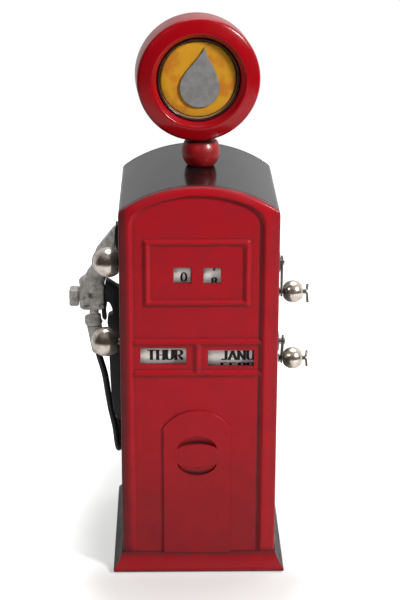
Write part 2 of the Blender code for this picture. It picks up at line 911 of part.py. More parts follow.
def knob(name, z):
    """A ball knob on the left end of an axle; its flat faces the wall."""
    seat = knob_radius - knob_cut
    outside = ball_profile(knob_radius, seat, knob_radius, 10)
    outside[0] = (0.0, knob_radius)
    floor = knob_bore_depth - seat
    profile = [*outside, (bore_radius, -seat), (bore_radius, floor), (0.0, floor)]
    centre = (knob_seat(name) - seat, axle_y, z)
    return turned(name + "_knob", "nickel", profile, centre, (-1, 0, 0), 20)


def crank(name, z):
    """An arm that hangs from its axle, wide there and narrow at the pin."""
    pin_end = (0.0, -crank_length[name])
    outline = arc((0.0, 0.0), crank_axle_end, -8, 188, 12) + arc(pin_end, crank_pin_end, 188, 352, 10)
    holes = [arc((0.0, 0.0), bore_radius, 0, 330, 11), arc(pin_end, bead_bore, 0, 330, 11)]
    outlines = [outline, *holes]
    arm = plate(name + "_crank", "nickel", outlines, crank_thickness, "YZ", (0, 0, 0))
    arm.location = (crank_start_x[name] + crank_thickness / 2, axle_y, z)
    arm.rotation_euler = (crank_turn[name], 0, 0)
    return arm


def crank_tip(name, z):
    """The centre of the pin, in Y and Z."""
    y = axle_y + crank_length[name] * math.sin(crank_turn[name])
    return y, z - crank_length[name] * math.cos(crank_turn[name])


def bead_x(name):
    """The bead's centre: its inner flat stands beside the crank arm."""
    return crank_start_x[name] + crank_thickness + gap + bead_ball_radius - bead_flat


def bead(name, z):
    y, tip_z = crank_tip(name, z)
    cut_at = bead_ball_radius - bead_flat
    outside = ball_profile(bead_ball_radius, cut_at, cut_at, 8)
    profile = [*outside, (bead_bore, -cut_at), (bead_bore, cut_at)]
    return turned(name + "_bead", "nickel", profile, (bead_x(name), y, tip_z), "X", 18, closed=True)


def split_pin(name, z, down, side):
    """A headed pin through arm and bead; its two split ends are bent over outside."""
    y, tip_z = crank_tip(name, z)
    head_start = crank_start_x[name] - gap - pin_head
    shank_end = bead_x(name) + bead_ball_radius + 0.2 * MM
    profile = [
        (0.0, shank_end),
        (pin_radius, shank_end),
        (pin_radius, head_start + pin_head),
        (pin_head_radius, head_start + pin_head),
        (pin_head_radius, head_start),
        (0.0, head_start),
    ]
    pin = turned(name + "_pin", "nickel", profile, (0, y, tip_z), "X", 12)
    lean = 0.45 * MM
    for number, (direction, length) in enumerate(zip((down, side), pin_legs[name])):
        spread = Vector((0, *direction)).normalized()
        root = Vector((shank_end - 1.2 * MM, y, tip_z)) + spread * lean
        knee = Vector((shank_end + 0.5 * MM, y, tip_z)) + spread * lean
        bend = knee + Vector((0.5 * MM, 0, 0)) + spread * 0.5 * MM
        tip = bend + spread * length + Vector((0.3 * MM, 0, 0))
        leg = tube(name + "_leg_" + str(number), None, [root, knee, bend, tip], pin_leg_radius)
        join(pin, leg)
    return pin


def drum_sets():
    for name, side, z in drum_places():
        drum(name, side, z)
        axle(name, side, z)
        bush(name, side, z)
        washer(name, side, z)
        if side < 0:
            knob(name, z)
        else:
            crank(name, z)
            bead(name, z)
    split_pin("units", upper_axle_z, (0.1, -1.0), (0.6, 0.5))
    split_pin("month", lower_axle_z, (0.3, -1.0), (0.5, 0.7))


def globe_housing():
    """The red ring of the sign with its bevelled front and plain back rim."""
    front = globe_depth / 2
    outer = globe_radius
    inner = globe_radius - globe_wall
    lip = bezel_radius + gap
    profile = [
        *arc((outer - globe_edge, front - globe_edge), globe_edge, 90, 0, 4),
        *arc((outer - globe_edge, globe_edge - front), globe_edge, 0, -90, 4),
        (inner - 1.2 * MM, -front),
        (inner - 1.2 * MM, 1.5 * MM - front),
        (inner, 1.5 * MM - front),
        (inner, front - 4.6 * MM),
        (lip, front - 4.6 * MM),
        (lip, front - 2.6 * MM),
        (lip + 2.6 * MM, front - 1.4 * MM),
        (outer - globe_edge - 0.6 * MM, front - 0.1 * MM),
    ]
    housing = turned("globe_housing", "red_paint", profile, (globe_x, globe_y, globe_z), (0, -1, 0), 40, closed=True)
    low = (neck_x, 0, globe_bottom - 4 * MM)
    cut(housing, rod("housing_hole", None, stud_bore, low, (neck_x, 0, globe_bottom + 4 * MM)))
    return housing


def globe_face():
    """Bezel, yellow disc, raised drop and rear disc of the sign."""
    front = globe_y - globe_depth / 2
    bezel_front = front + 2.4 * MM
    bezel_inner = face_radius + gap
    bezel_depth = 2.6 * MM
    seat = bezel_front + bezel_depth
    profile = [
        (bezel_radius - 0.3 * MM, bezel_depth / 2),
        (bezel_radius, bezel_depth / 2 - 0.3 * MM),
        (bezel_radius, -bezel_depth / 2),
        (bezel_inner, -bezel_depth / 2),
        (bezel_inner, bezel_depth / 2 - 0.6 * MM),
        (bezel_inner + 0.3 * MM, bezel_depth / 2),
    ]
    middle = (globe_x, bezel_front + bezel_depth / 2, globe_z)
    turned("globe_bezel", "black_enamel", profile, middle, (0, -1, 0), 36, closed=True)
    face_y = seat - face_thickness / 2
    start = (globe_x, face_y - face_thickness / 2, globe_z)
    end = (globe_x, face_y + face_thickness / 2, globe_z)
    rod("globe_face", "yellow_enamel", face_radius, start, end, 36)
    emblem_middle = (globe_x, start[1] - gap - emblem_height / 2, globe_z)
    plate("globe_emblem", "emblem_grey", [drop_outline()], emblem_height, "XZ", emblem_middle)
    inner = globe_radius - globe_wall - gap
    back_y = globe_y + globe_depth / 2 - 1.5 * MM - gap
    back_start = (globe_x, back_y - 1.2 * MM, globe_z)
    rod("globe_back", "red_paint", inner, back_start, (globe_x, back_y, globe_z), 36)


def drop_outline():
    """A fuel drop, point up, leaning a little to the right."""
    radius = 6.4 * MM
    low = -2.6 * MM
    tip = 11.4 * MM
    lean = math.radians(-9)
    shoulder = 28
    points = arc((0.0, low), radius, 180 - shoulder, 360 + shoulder, 20)
    side = points[-1]
    for share in (0.35, 0.7):
        x = side[0] * (1 - share) ** 1.25
        points.append((x, side[1] + (tip - side[1]) * share))
    points.append((0.0, tip))
    for share in (0.7, 0.35):
        x = -side[0] * (1 - share) ** 1.25
        points.append((x, side[1] + (tip - side[1]) * share))
    turn = Matrix.Rotation(lean, 2)
    return [tuple(turn @ Vector(point)) for point in points]


def neck():
    """The ball between roof and sign, cut to sit on both, and the stud that ties the three."""
    profile = ball_profile(neck_radius, neck_radius, neck_radius, 12)
    profile[0] = (0.0, neck_radius)
    profile[-1] = (0.0, -neck_radius)
    ball = turned("neck_ball", "red_paint", profile, (neck_x, 0, neck_z), "Z", 24)
    start = (globe_x, -globe_depth, globe_z)
    end = (globe_x, globe_depth, globe_z)
    cut(ball, rod("neck_saddle", None, globe_radius + gap, start, end, 64))
    roof = [(x, z + gap) for x, z in arch_line(0.0, body_bottom)]
    cut(ball, plate("neck_seat", None, [roof], body_depth, "XZ", (0, 0, 0)))
    low = (neck_x, 0, neck_z - 2 * neck_radius)
    cut(ball, rod("neck_bore", None, stud_bore, low, (neck_x, 0, neck_z + 2 * neck_radius)))
    inner_top = globe_bottom + globe_wall
    under_roof = roof_z - wall
    washer_top = under_roof - 2 * gap
    washer_middle = washer_top - washer_thickness
    roof_nut_top = washer_middle - washer_thickness - gap
    stud_low = roof_nut_top - nut_height - 1 * MM
    stud_high = inner_top + 2 * gap + nut_height + 1 * MM
    rod("globe_stud", "steel", stud_radius, (neck_x, 0, stud_low), (neck_x, 0, stud_high), 16)
    ring("roof_washer", "steel", nut_radius, stud_bore, 2 * washer_thickness, (neck_x, 0, washer_middle))
    roof_nut_middle = (neck_x, 0, roof_nut_top - nut_height / 2)
    ring("roof_nut", "brass", nut_radius, stud_bore, nut_height, roof_nut_middle, "Z", 6)
    globe_nut_middle = (neck_x, 0, inner_top + 2 * gap + nut_height / 2)
    ring("globe_nut", "brass", nut_radius, stud_bore, nut_height, globe_nut_middle, "Z", 6)


def nozzle_body():
    """The cast nozzle: valve block, shoulder, spout, neck and collar."""
    half = Vector((block_width, block_depth, block_height)) / 2
    middle = Vector((block_x, nozzle_y, block_z))
    body = box("nozzle_body", "cast_pewter", middle - half, middle + half, 1.3 * MM, 2)
    stations = [
        (0.0, 106.6, 4.2),
        (0.1, 109.6, 4.3),
        (1.6, 113.0, 3.9),
        (3.0, 115.8, 3.5),
        (2.9, 118.6, 3.2),
        (4.6, 122.4, 3.2),
        (8.0, 126.7, 3.2),
        (12.6, 132.5, 3.2),
    ]
    spout = tapered_tube("spout", stations)
    trim_x = spout_end_x + 20 * MM
    trim = box("spout_trim", None, (spout_end_x, -10 * MM, 112 * MM), (trim_x, 10 * MM, 145 * MM))
    cut(spout, trim)
    cap_seat = (block_left - 0.2 * MM, nozzle_y, block_z)
    pad = rod("cap_seat", None, 2.6 * MM, cap_seat, (block_left + 3 * MM, nozzle_y, block_z))
    lump = ball("shoulder_lump", (block_x - 2.1 * MM, nozzle_y, 110.0 * MM), 2.6 * MM)
    join(body, spout, pad, lump)
    neck_low = (block_x + 0.3 * MM, nozzle_y, collar_z)
    neck_high = (block_x + 0.6 * MM, nozzle_y, block_z - block_height / 3)
    collar_half = Vector((0.12, 0, -1)).normalized() * collar_height / 2
    collar_middle = Vector((block_x - 0.2 * MM, nozzle_y, collar_z))
    collar = rod("collar", None, collar_radius, collar_middle - collar_half, collar_middle + collar_half, 20)
    join(body, rod("nozzle_neck", None, 2.1 * MM, neck_low, neck_high), collar)
    peg_start = (block_right - peg_length - 0.4 * MM, nozzle_y, peg_z)
    peg_hole = rod("peg_hole", None, peg_radius + gap, peg_start, (block_right + MM, nozzle_y, peg_z))
    front = nozzle_y - block_depth / 2
    eye = (block_x, front - MM, block_z + 0.6 * MM)
    dimple = rod("block_dimple", None, 1.0 * MM, eye, (eye[0], front + 1.4 * MM, eye[2]))
    slot_half = trigger_thickness / 2 + gap
    pin_x, pin_z = trigger_pin
    slot = box(
        "trigger_slot",
        None,
        (pin_x - 1.9 * MM, nozzle_y - slot_half, block_z - block_height),
        (block_right + MM, nozzle_y + slot_half, pin_z + 2.9 * MM),
    )
    pin_low = (pin_x, front - MM, pin_z)
    pin_high = (pin_x, nozzle_y + block_depth / 2 + MM, pin_z)
    pin_hole = rod("trigger_pin_hole", None, trigger_pin_radius + gap, pin_low, pin_high, 12)
    return cut(body, peg_hole, dimple, slot, pin_hole)


def ball(name, centre, radius):
    shape = bmesh.new()
    bmesh.ops.create_uvsphere(shape, u_segments=14, v_segments=9, radius=radius)
    return move_to(from_bmesh(name, shape, None), centre)


def tapered_tube(name, stations):
    """A round bar in the plane of the nozzle through stations in millimetres.

    Each station holds its distance to the right of the valve block, its height and its radius.
    """
    curve = bpy.data.curves.new(name, "CURVE")
    curve.dimensions = "3D"
    curve.bevel_depth = MM
    curve.bevel_resolution = 4
    curve.use_fill_caps = True
    points = [(block_x + x * MM, nozzle_y, z * MM) for x, z, _ in stations]
    spline = poly_spline(curve, points, False)
    for point, (_, _, radius) in zip(spline.points, stations):
        point.radius = radius
    return curve_to_part(name, None, curve)


def valve_cap():
    right = block_left - 0.2 * MM - gap
    left = right - 3.6 * MM
    half = 3.3 * MM
    low = (left, nozzle_y - half, block_z - half - 0.6 * MM)
    high = (right, nozzle_y + half, block_z + half - 0.6 * MM)
    return box("valve_cap", "cast_pewter", low, high, 0.7 * MM, 2)


def hose_coupling():
    start = (coupling_top[0], nozzle_y, coupling_top[1])
    end = (coupling_bottom[0], nozzle_y, coupling_bottom[1])
    top, bottom = coupling_radii
    return rod("hose_coupling", "cast_pewter", top, start, end, 20, bottom)


def nozzle_trigger():
    """The black lever that hangs in the slot of the block and bows out beside it."""
    outline = [
        (2.0, 1.7),
        (1.5, 1.8),
        (1.0, 1.0),
        (-0.4, 0.9),
        (-1.0, 0.0),
        (-0.4, -0.9),
        (-0.3, -3.0),
        (-0.4, -4.8),
        (0.3, -6.4),
        (1.3, -7.4),
        (1.75, -6.9),
        (1.1, -5.9),
        (0.8, -4.3),
        (1.1, -2.6),
        (1.8, -1.0),
        (2.2, 0.6),
    ]
    pin_x, pin_z = trigger_pin
    local = [(x * MM, z * MM) for x, z in outline]
    hole = arc((0.0, 0.0), trigger_pin_radius + bore_clearance * 0.6, 0, 315, 7)
    middle = (pin_x, nozzle_y, pin_z)
    lever = plate("nozzle_trigger", "black_plastic", [local, hole], trigger_thickness, "XZ", middle)
    start = (pin_x, nozzle_y - block_depth / 2, pin_z)
    end = (pin_x, nozzle_y + block_depth / 2, pin_z)
    rod("trigger_pin", "steel", trigger_pin_radius, start, end, 12)
    return lever


def nozzle_holder():
    """The black bracket on the wall: long foot, arm under the trigger, peg lug and spout rest."""
    wall_x = -half_width - gap
    outline = [
        (wall_x, 133.6 * MM),
        (spout_end_x + gap, 133.6 * MM),
        (spout_end_x + gap, 113.6 * MM),
        (spout_end_x - 1.0 * MM, 110.8 * MM),
        (spout_end_x - 2.6 * MM, 110.0 * MM),
        (block_right + gap, 109.2 * MM),
        (block_right + gap, 104.0 * MM),
        (wall_x - 5.1 * MM, 103.0 * MM),
        (wall_x - 4.1 * MM, 100.8 * MM),
        (wall_x - 3.5 * MM, 98.2 * MM),
        (wall_x - 3.3 * MM, 95.8 * MM),
        (wall_x - 4.3 * MM, 94.8 * MM),
        (wall_x - 5.1 * MM, 93.2 * MM),
        (wall_x - 5.1 * MM, 77.6 * MM),
        (wall_x - 4.7 * MM, 64.9 * MM),
        (wall_x - 4.1 * MM, 57.2 * MM),
        (wall_x - 3.1 * MM, 53.2 * MM),
        (wall_x - 1.7 * MM, 51.5 * MM),
        (wall_x, 51.0 * MM),
    ]
    middle = (0, nozzle_y, 0)
    holder = plate("nozzle_holder", "black_plastic", [outline], holder_depth, "XZ", middle)
    start = (block_right - peg_length, nozzle_y, peg_z)
    end = (block_right + 2 * gap + MM, nozzle_y, peg_z)
    return join(holder, rod("peg", None, peg_radius, start, end))


def catmull_rom(route, count):
    """Evenly numbered points on a smooth curve through the route's points."""
    padded = [route[0] * 2 - route[1], *route, route[-1] * 2 - route[-2]]
    spans = len(route) - 1
    points = []
    for step in range(count + 1):
        place_on = step / count * spans
        span = min(int(place_on), spans - 1)
        t = place_on - span
        a, b, c, d = padded[span : span + 4]
        straight = (c - a) * t
        bent = (a * 2 - b * 5 + c * 4 - d) * t * t
        twisted = (b * 3 - a - c * 3 + d) * t * t * t
        points.append(b + (straight + bent + twisted) / 2)
    return points


def hose():
    route = [Vector(point) * MM for point in hose_route]
    return tube("hose", "hose_rubber", catmull_rom(route, hose_points), hose_radius)


def hose_outlet():
    """The elbow on the wall that the hose runs into."""
    x, y = -half_width - outlet_standoff, outlet_y
    low = outlet_z + gap
    high = low + outlet_length
    outlet = rod("hose_outlet", "cast_pewter", outlet_radius, (x, y, low), (x, y, high))
    wall_x = -half_width - gap
    join(outlet, ball("outlet_knuckle", (x, y, high), outlet_radius * 1.05))
    join(outlet, rod("outlet_arm", None, outlet_radius * 0.9, (x, y, high), (wall_x - 0.1 * MM, y, high)))
    flange_start = (wall_x - outlet_flange, y, high)
    join(outlet, rod("outlet_flange", None, outlet_flange_radius, flange_start, (wall_x, y, high)))
    return outlet


clear_scene()
parts = new_collection("gas_pump_calendar")
cutters = new_collection("cutters")
front_panel()
casing()
rear_cover()
side_skirt()
base_plate()
base_pad()
screws()
drum_bracket()
drum_sets()
globe_housing()
globe_face()
neck()
nozzle_body()
valve_cap()
hose_coupling()
nozzle_trigger()
nozzle_holder()
hose()
hose_outlet()
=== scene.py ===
import json
import bmesh
import bpy
from math import asin, copysign, cos, degrees, exp, hypot, pi, radians, sin, sqrt
from mathutils import Matrix, Vector, noise


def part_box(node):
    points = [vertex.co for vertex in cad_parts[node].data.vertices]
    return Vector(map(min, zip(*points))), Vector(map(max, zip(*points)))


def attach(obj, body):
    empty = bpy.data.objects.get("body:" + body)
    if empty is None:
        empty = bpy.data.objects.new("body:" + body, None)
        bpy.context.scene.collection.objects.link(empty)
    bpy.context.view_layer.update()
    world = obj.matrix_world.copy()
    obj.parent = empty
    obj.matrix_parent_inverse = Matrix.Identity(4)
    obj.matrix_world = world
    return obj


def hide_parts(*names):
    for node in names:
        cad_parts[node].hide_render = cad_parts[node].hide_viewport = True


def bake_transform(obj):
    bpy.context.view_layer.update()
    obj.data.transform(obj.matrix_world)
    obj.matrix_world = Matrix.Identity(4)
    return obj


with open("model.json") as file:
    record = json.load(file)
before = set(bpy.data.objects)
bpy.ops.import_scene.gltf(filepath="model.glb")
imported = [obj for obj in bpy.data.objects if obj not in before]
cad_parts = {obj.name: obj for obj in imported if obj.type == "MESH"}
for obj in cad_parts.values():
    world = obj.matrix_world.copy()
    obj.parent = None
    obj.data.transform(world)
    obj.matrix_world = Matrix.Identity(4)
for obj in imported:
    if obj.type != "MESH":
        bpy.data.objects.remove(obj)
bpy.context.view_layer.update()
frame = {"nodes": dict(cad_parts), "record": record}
nodes = frame["nodes"]
scene = bpy.context.scene
mm = 0.001

cameraView = {
    "lens": 97.16, "place": (-10.15, -604.6, 319.0),
    "down": 19.77, "aside": 1.05, "roll": 0.145,
}
studio = {
    "key": {"place": (0.66, -0.46, 0.66), "size": 0.2, "power": 10.9, "colour": (1.0, 0.97, 0.94)},
    "fill": {"place": (-0.5, -0.95, 0.75), "size": 0.5, "power": 3.9, "colour": (1.0, 0.98, 0.96)},
    "top": {"place": (0.1, 0.3, 1.1), "size": 0.8, "power": 5.6, "colour": (1.0, 1.0, 1.0)},
    "dark": 0.035, "back": 0.64, "above": 0.28, "sideways": 0.36, "level": 0.93,
    "roomColour": (1.0, 0.66, 0.42), "whiteFrom": 0.25,
}
# lift is the floor's brightness for camera rays, lower near the base and in front of it: a painted shadow;
# glow is light it gives off for glossy rays only: a painted reflection, brighter in a patch to the right
# front
paleFloor = {
    "albedo": (0.49, 0.487, 0.485), "farAlbedo": (0.1, 0.1, 0.1), "frontEdge": (-0.42, -0.28),
    "lift": (0.48, 0.9), "liftReach": (0.038, 0.062), "frontDim": 0.22, "dimReach": (-0.12, -0.045, -0.025),
    "squash": (1.0, 0.45, 1.0), "glow": (0.08, 0.2), "glowReach": (-0.14, -0.32), "patch": 1.8,
}


def placed(name, data):  # a new object in the scene, at the origin
    thing = bpy.data.objects.new(name, data)
    scene.collection.objects.link(thing)
    return thing


def asObject(name, bm):
    mesh = bpy.data.meshes.new(name)
    bm.to_mesh(mesh)
    bm.free()
    return placed(name, mesh)


def feed(tree, node, inputs):  # each input gets a link from another node, or a plain value
    for key, value in inputs.items():
        if isinstance(value, bpy.types.NodeSocket):
            tree.links.new(value, node.inputs[key])
        else:
            node.inputs[key].default_value = value


def addNode(tree, kind, inputs=None, **settings):
    node = tree.nodes.new("ShaderNode" + kind)
    for key, value in settings.items():
        setattr(node, key, value)
    feed(tree, node, inputs or {})
    return node


def reckon(tree, operation, *values, clamp=False):
    return addNode(tree, "Math", dict(enumerate(values)), operation=operation, use_clamp=clamp).outputs[0]


def ramp(tree, source, reach, values=(0, 1), blend="SMOOTHSTEP"):
    limits = dict(zip(("From Min", "From Max", "To Min", "To Max"), (*reach, *values)))
    return addNode(tree, "MapRange", {"Value": source, **limits}, interpolation_type=blend).outputs["Result"]


def mixed(tree, share, first, second):  # two colours, each a triple or another node's output
    first, second = [c if isinstance(c, bpy.types.NodeSocket) else (*c, 1) for c in (first, second)]
    inputs = {"Factor": share, "A": first, "B": second}
    return addNode(tree, "Mix", inputs, data_type="RGBA").outputs["Result"]


def makeCamera():
    v = cameraView
    data = bpy.data.cameras.new("viewCamera")
    data.lens = v["lens"]
    data.sensor_width = 36
    data.clip_start = 0.01
    camera = placed("viewCamera", data)
    turn = Matrix.Identity(4)
    for angle, axis in ((-v["aside"], "Z"), (90 - v["down"], "X"), (v["roll"], "Z")):
        turn = turn @ Matrix.Rotation(radians(angle), 4, axis)
    camera.matrix_world = Matrix.Translation(Vector(v["place"]) * mm) @ turn
    scene.camera = camera


def makeLamp(name, facts):
    data = bpy.data.lights.new(name, "AREA")
    data.shape = "DISK"
    data.size = facts["size"]
    data.energy = facts["power"]
    data.color = facts["colour"]
    lamp = placed(name, data)
    lamp.location = facts["place"]
    aim = Vector((0, 0, 0.1)) - Vector(facts["place"])
    lamp.rotation_euler = aim.to_track_quat("-Z", "Y").to_euler()
    lamp.visible_glossy = name != "fillLamp"


def makeWorld():  # white paper behind and above, a dim room in front, a little brighter to the right
    s = studio
    world = bpy.data.worlds.new("studioWorld")
    world.use_nodes = True
    tree = world.node_tree
    tree.nodes.clear()
    parts = addNode(tree, "SeparateXYZ", {0: addNode(tree, "TexCoord").outputs["Generated"]}).outputs
    behind = ramp(tree, parts["Y"], (-0.15, 0.45), (s["dark"], s["back"]))
    above = ramp(tree, parts["Z"], (0.48, 0.9), (s["dark"], s["above"]))
    slant = reckon(tree, "MULTIPLY_ADD", parts["X"], s["sideways"], s["level"])
    leant = reckon(tree, "MULTIPLY", reckon(tree, "MAXIMUM", behind, above), slant)
    cameraRay = addNode(tree, "LightPath").outputs["Is Camera Ray"]
    seen = addNode(tree, "Mix", {"Factor": cameraRay, "A": leant, "B": 1.0}, data_type="FLOAT")
    seen = seen.outputs["Result"]
    tint = mixed(tree, ramp(tree, seen, (0, s["whiteFrom"]), blend="LINEAR"), s["roomColour"], (1, 1, 1))
    ground = addNode(tree, "Background", {"Strength": seen, "Color": tint})
    addNode(tree, "OutputWorld", {0: ground.outputs[0]})
    scene.world = world


def makeFloor():
    facts = paleFloor
    bm = bmesh.new()
    bmesh.ops.create_grid(bm, x_segments=4, y_segments=6, size=0.45)
    bmesh.ops.scale(bm, vec=(1, 1.5, 1), verts=bm.verts)
    bmesh.ops.translate(bm, vec=(0, -0.075, 0), verts=bm.verts)
    floor = asObject("floor", bm)
    material = bpy.data.materials.new("paleFloor")
    material.use_nodes = True
    tree = material.node_tree
    place = addNode(tree, "TexCoord").outputs["Object"]
    parts = addNode(tree, "SeparateXYZ", {0: place}).outputs
    x, y = parts["X"], parts["Y"]

    def sums(*values):
        return reckon(tree, *values)

    near = ramp(tree, y, facts["frontEdge"])
    squashed = addNode(tree, "VectorMath", {0: place, 1: facts["squash"]}, operation="MULTIPLY").outputs[0]
    distance = addNode(tree, "VectorMath", {0: squashed}, operation="LENGTH").outputs["Value"]
    # painted shadow: less lift near the base
    lift = ramp(tree, distance, facts["liftReach"], facts["lift"])
    lift = sums("ADD", lift, sums("MULTIPLY_ADD", near, -0.5, 0.5))
    # painted shadow: dimmer just in front of the base
    start, middle, end = facts["dimReach"]
    before = sums("MULTIPLY", ramp(tree, y, (middle, end), (1, 0)), ramp(tree, y, (start, middle)))
    lift = sums("SUBTRACT", lift, sums("MULTIPLY", before, facts["frontDim"]))
    ahead = sums("MAXIMUM", sums("MULTIPLY", y, -1.0), 0.02)
    slew = sums("DIVIDE", x, ahead)  # how far round to the right of the front
    patch = ramp(tree, slew, (0.15, 0.4), (0, facts["patch"]))
    patch = sums("MULTIPLY", patch, ramp(tree, slew, (0.6, 0.95), (1, 0)))
    # painted reflection: the floor glows for glossy rays, more in the patch to the right front
    glow = ramp(tree, y, facts["glowReach"], facts["glow"])
    glow = sums("MULTIPLY", glow, sums("ADD", patch, 1.0))
    path = addNode(tree, "LightPath").outputs
    seen = sums("MULTIPLY", path["Is Camera Ray"], lift)
    feed(tree, tree.nodes["Principled BSDF"], {
        "Base Color": mixed(tree, near, facts["farAlbedo"], facts["albedo"]), "Roughness": 0.8,
        "Specular IOR Level": 0.1, "Emission Color": (1, 1, 1, 1),
        "Emission Strength": sums("MULTIPLY_ADD", path["Is Glossy Ray"], glow, seen),
    })
    floor.data.materials.append(material)


scene.view_settings.view_transform = "Standard"
makeCamera()
makeWorld()
makeFloor()
for lampName in ("key", "fill", "top"):
    makeLamp(lampName + "Lamp", studio[lampName])
print("camera, lamps and floor are set")


def newGroup(name, inputs, output):
    group = bpy.data.node_groups.new(name, "ShaderNodeTree")
    newSocket = group.interface.new_socket
    newSocket(name="Vector", in_out="INPUT", socket_type="NodeSocketVector")
    for label, value in inputs.items():
        newSocket(name=label, in_out="INPUT", socket_type="NodeSocketFloat").default_value = value
    newSocket(name=output, in_out="OUTPUT", socket_type="NodeSocketFloat")
    return group, group.nodes.new("NodeGroupInput").outputs


def closeGroup(group, result):
    group.links.new(result, group.nodes.new("NodeGroupOutput").inputs[0])
    return group


def makePatches():  # soft patches with a little fine break-up, 0 to 1
    group, given = newGroup("patches", {"Scale": 60.0, "Low": 0.4, "High": 0.62}, "Mask")
    inputs = {"Vector": given["Vector"], "Scale": given["Scale"], "Detail": 6, "Roughness": 0.62}
    cloud = addNode(group, "TexNoise", inputs).outputs["Fac"]
    return closeGroup(group, ramp(group, cloud, (given["Low"], given["High"])))


def makeGrain():  # fine height for bumps: a coarse swell and a fine speckle
    group, given = newGroup("grain", {"Scale": 400.0, "Coarse": 0.5}, "Height")
    fine = addNode(group, "TexNoise", {"Vector": given["Vector"], "Scale": given["Scale"], "Detail": 3})
    slower = reckon(group, "MULTIPLY", given["Scale"], 0.16)
    coarse = addNode(group, "TexNoise", {"Vector": given["Vector"], "Scale": slower, "Detail": 2})
    swell, speckle = coarse.outputs["Fac"], fine.outputs["Fac"]
    return closeGroup(group, reckon(group, "MULTIPLY_ADD", swell, given["Coarse"], speckle))


def makeWashAndShade():  # mask for the dark wash and painted shade in the hollows and along the rims, and for the pale painted highlight on the globe rim's lip
    group, given = newGroup("washAndPaintedShade", {"Hollow": 0.0, "Uneven": 0.6}, "Mask")
    cloud = addNode(group, "TexNoise", {"Vector": given["Vector"], "Scale": 160, "Detail": 5}).outputs["Fac"]
    sway = reckon(group, "MULTIPLY_ADD", reckon(group, "SUBTRACT", cloud, 0.5), given["Uneven"], 1.0)
    return closeGroup(group, reckon(group, "MULTIPLY", sway, given["Hollow"], clamp=True))


patches = makePatches()
grain = makeGrain()
washAndPaintedShade = makeWashAndShade()
print("shader groups are made")

# colour, worn colour, dark wash and painted shade colour (for blackRim a pale painted highlight colour),
# patches, roughness from and to, grain, bump, then the rest by name
finishes = {
    "frontRed": [(0.355, 0.005, 0.012), (0.32, 0.006, 0.013), (0.075, 0.014, 0.016),
        130, (0.34, 0.44), 1300, 0.06, {"coat": 0.03, "specular": 0.22}],
    "globeRed": [(0.31, 0.0015, 0.0055), (0.275, 0.002, 0.006), (0.05, 0.003, 0.004),
        60, (0.18, 0.26), 500, 0.015, {"coat": 0.06, "specular": 0.36}],
    "ballRed": [(0.34, 0.008, 0.012), (0.22, 0.008, 0.01), (0.05, 0.008, 0.01),
        140, (0.3, 0.42), 700, 0.06, {"coat": 0.1, "specular": 0.4}],
    "darkEnamel": [(0.0055, 0.0055, 0.006), (0.009, 0.009, 0.0095), (0.004, 0.004, 0.004),
        70, (0.14, 0.2), 700, 0.01, {"specular": 0.5}],
    "footEnamel": [(0.016, 0.0145, 0.014), (0.03, 0.022, 0.02), (0.009, 0.006, 0.0055),
        120, (0.3, 0.4), 900, 0.03, {"specular": 0.26}],
    # its third colour is pale: a painted highlight on the rim's inner lip
    "blackRim": [(0.008, 0.005, 0.005), (0.022, 0.009, 0.008), (0.5, 0.34, 0.24),
        200, (0.25, 0.4), 900, 0.05, {"coat": 0.2}],
    "yellowEnamel": [(0.54, 0.27, 0.016), (0.46, 0.16, 0.013), (0.2, 0.07, 0.01),
        150, (0.42, 0.55), 900, 0.1, {"specular": 0.25}],
    "emblemGrey": [(0.21, 0.215, 0.22), (0.17, 0.17, 0.175), (0.06, 0.05, 0.04),
        420, (0.4, 0.55), 1500, 0.12, {"specular": 0.35}],
    "castPewter": [(0.68, 0.675, 0.66), (0.5, 0.49, 0.47), (0.13, 0.11, 0.09),
        900, (0.4, 0.6), 2200, 0.5, {"metallic": 0.15}],
    "smoothPewter": [(0.56, 0.56, 0.55), (0.42, 0.415, 0.4), (0.1, 0.09, 0.08),
        260, (0.36, 0.5), 1600, 0.15, {"metallic": 0.2}],
    "blackPlastic": [(0.008, 0.008, 0.009), (0.015, 0.015, 0.016), (0.004, 0.004, 0.004),
        150, (0.35, 0.5), 1300, 0.08, {"specular": 0.35}],
    "warmNickel": [(0.95, 0.89, 0.82), (0.74, 0.64, 0.54), (0.14, 0.1, 0.06),
        520, (0.16, 0.27), 900, 0.08, {"metallic": 0.92}],
    "brightSteel": [(0.56, 0.56, 0.55), (0.4, 0.39, 0.37), (0.1, 0.09, 0.08),
        300, (0.25, 0.42), 1200, 0.08, {"metallic": 1.0}],
    "agedSteel": [(0.2, 0.185, 0.165), (0.1, 0.085, 0.07), (0.04, 0.03, 0.025),
        500, (0.35, 0.55), 1400, 0.12, {"metallic": 0.85}],
    "plainBrass": [(0.62, 0.44, 0.18), (0.38, 0.24, 0.1), (0.1, 0.07, 0.03),
        300, (0.22, 0.4), 1000, 0.06, {"metallic": 1.0}],
    "drumWhite": [(0.95, 0.945, 0.93), (0.9, 0.89, 0.86), (0.4, 0.38, 0.35),
        150, (0.4, 0.52), 1400, 0.05, {}],
    "printBlack": [(0.008, 0.008, 0.008), (0.02, 0.02, 0.019), (0.01, 0.01, 0.01),
        900, (0.5, 0.65), 1400, 0.05, {"specular": 0.3}],
    "hoseRubber": [(0.008, 0.008, 0.009), (0.015, 0.015, 0.016), (0.004, 0.004, 0.004),
        260, (0.32, 0.5), 1500, 0.1, {"specular": 0.35}],
    "blackFelt": [(0.022, 0.021, 0.02), (0.045, 0.043, 0.04), (0.01, 0.01, 0.01),
        500, (0.9, 1.0), 3000, 0.5, {}],
}


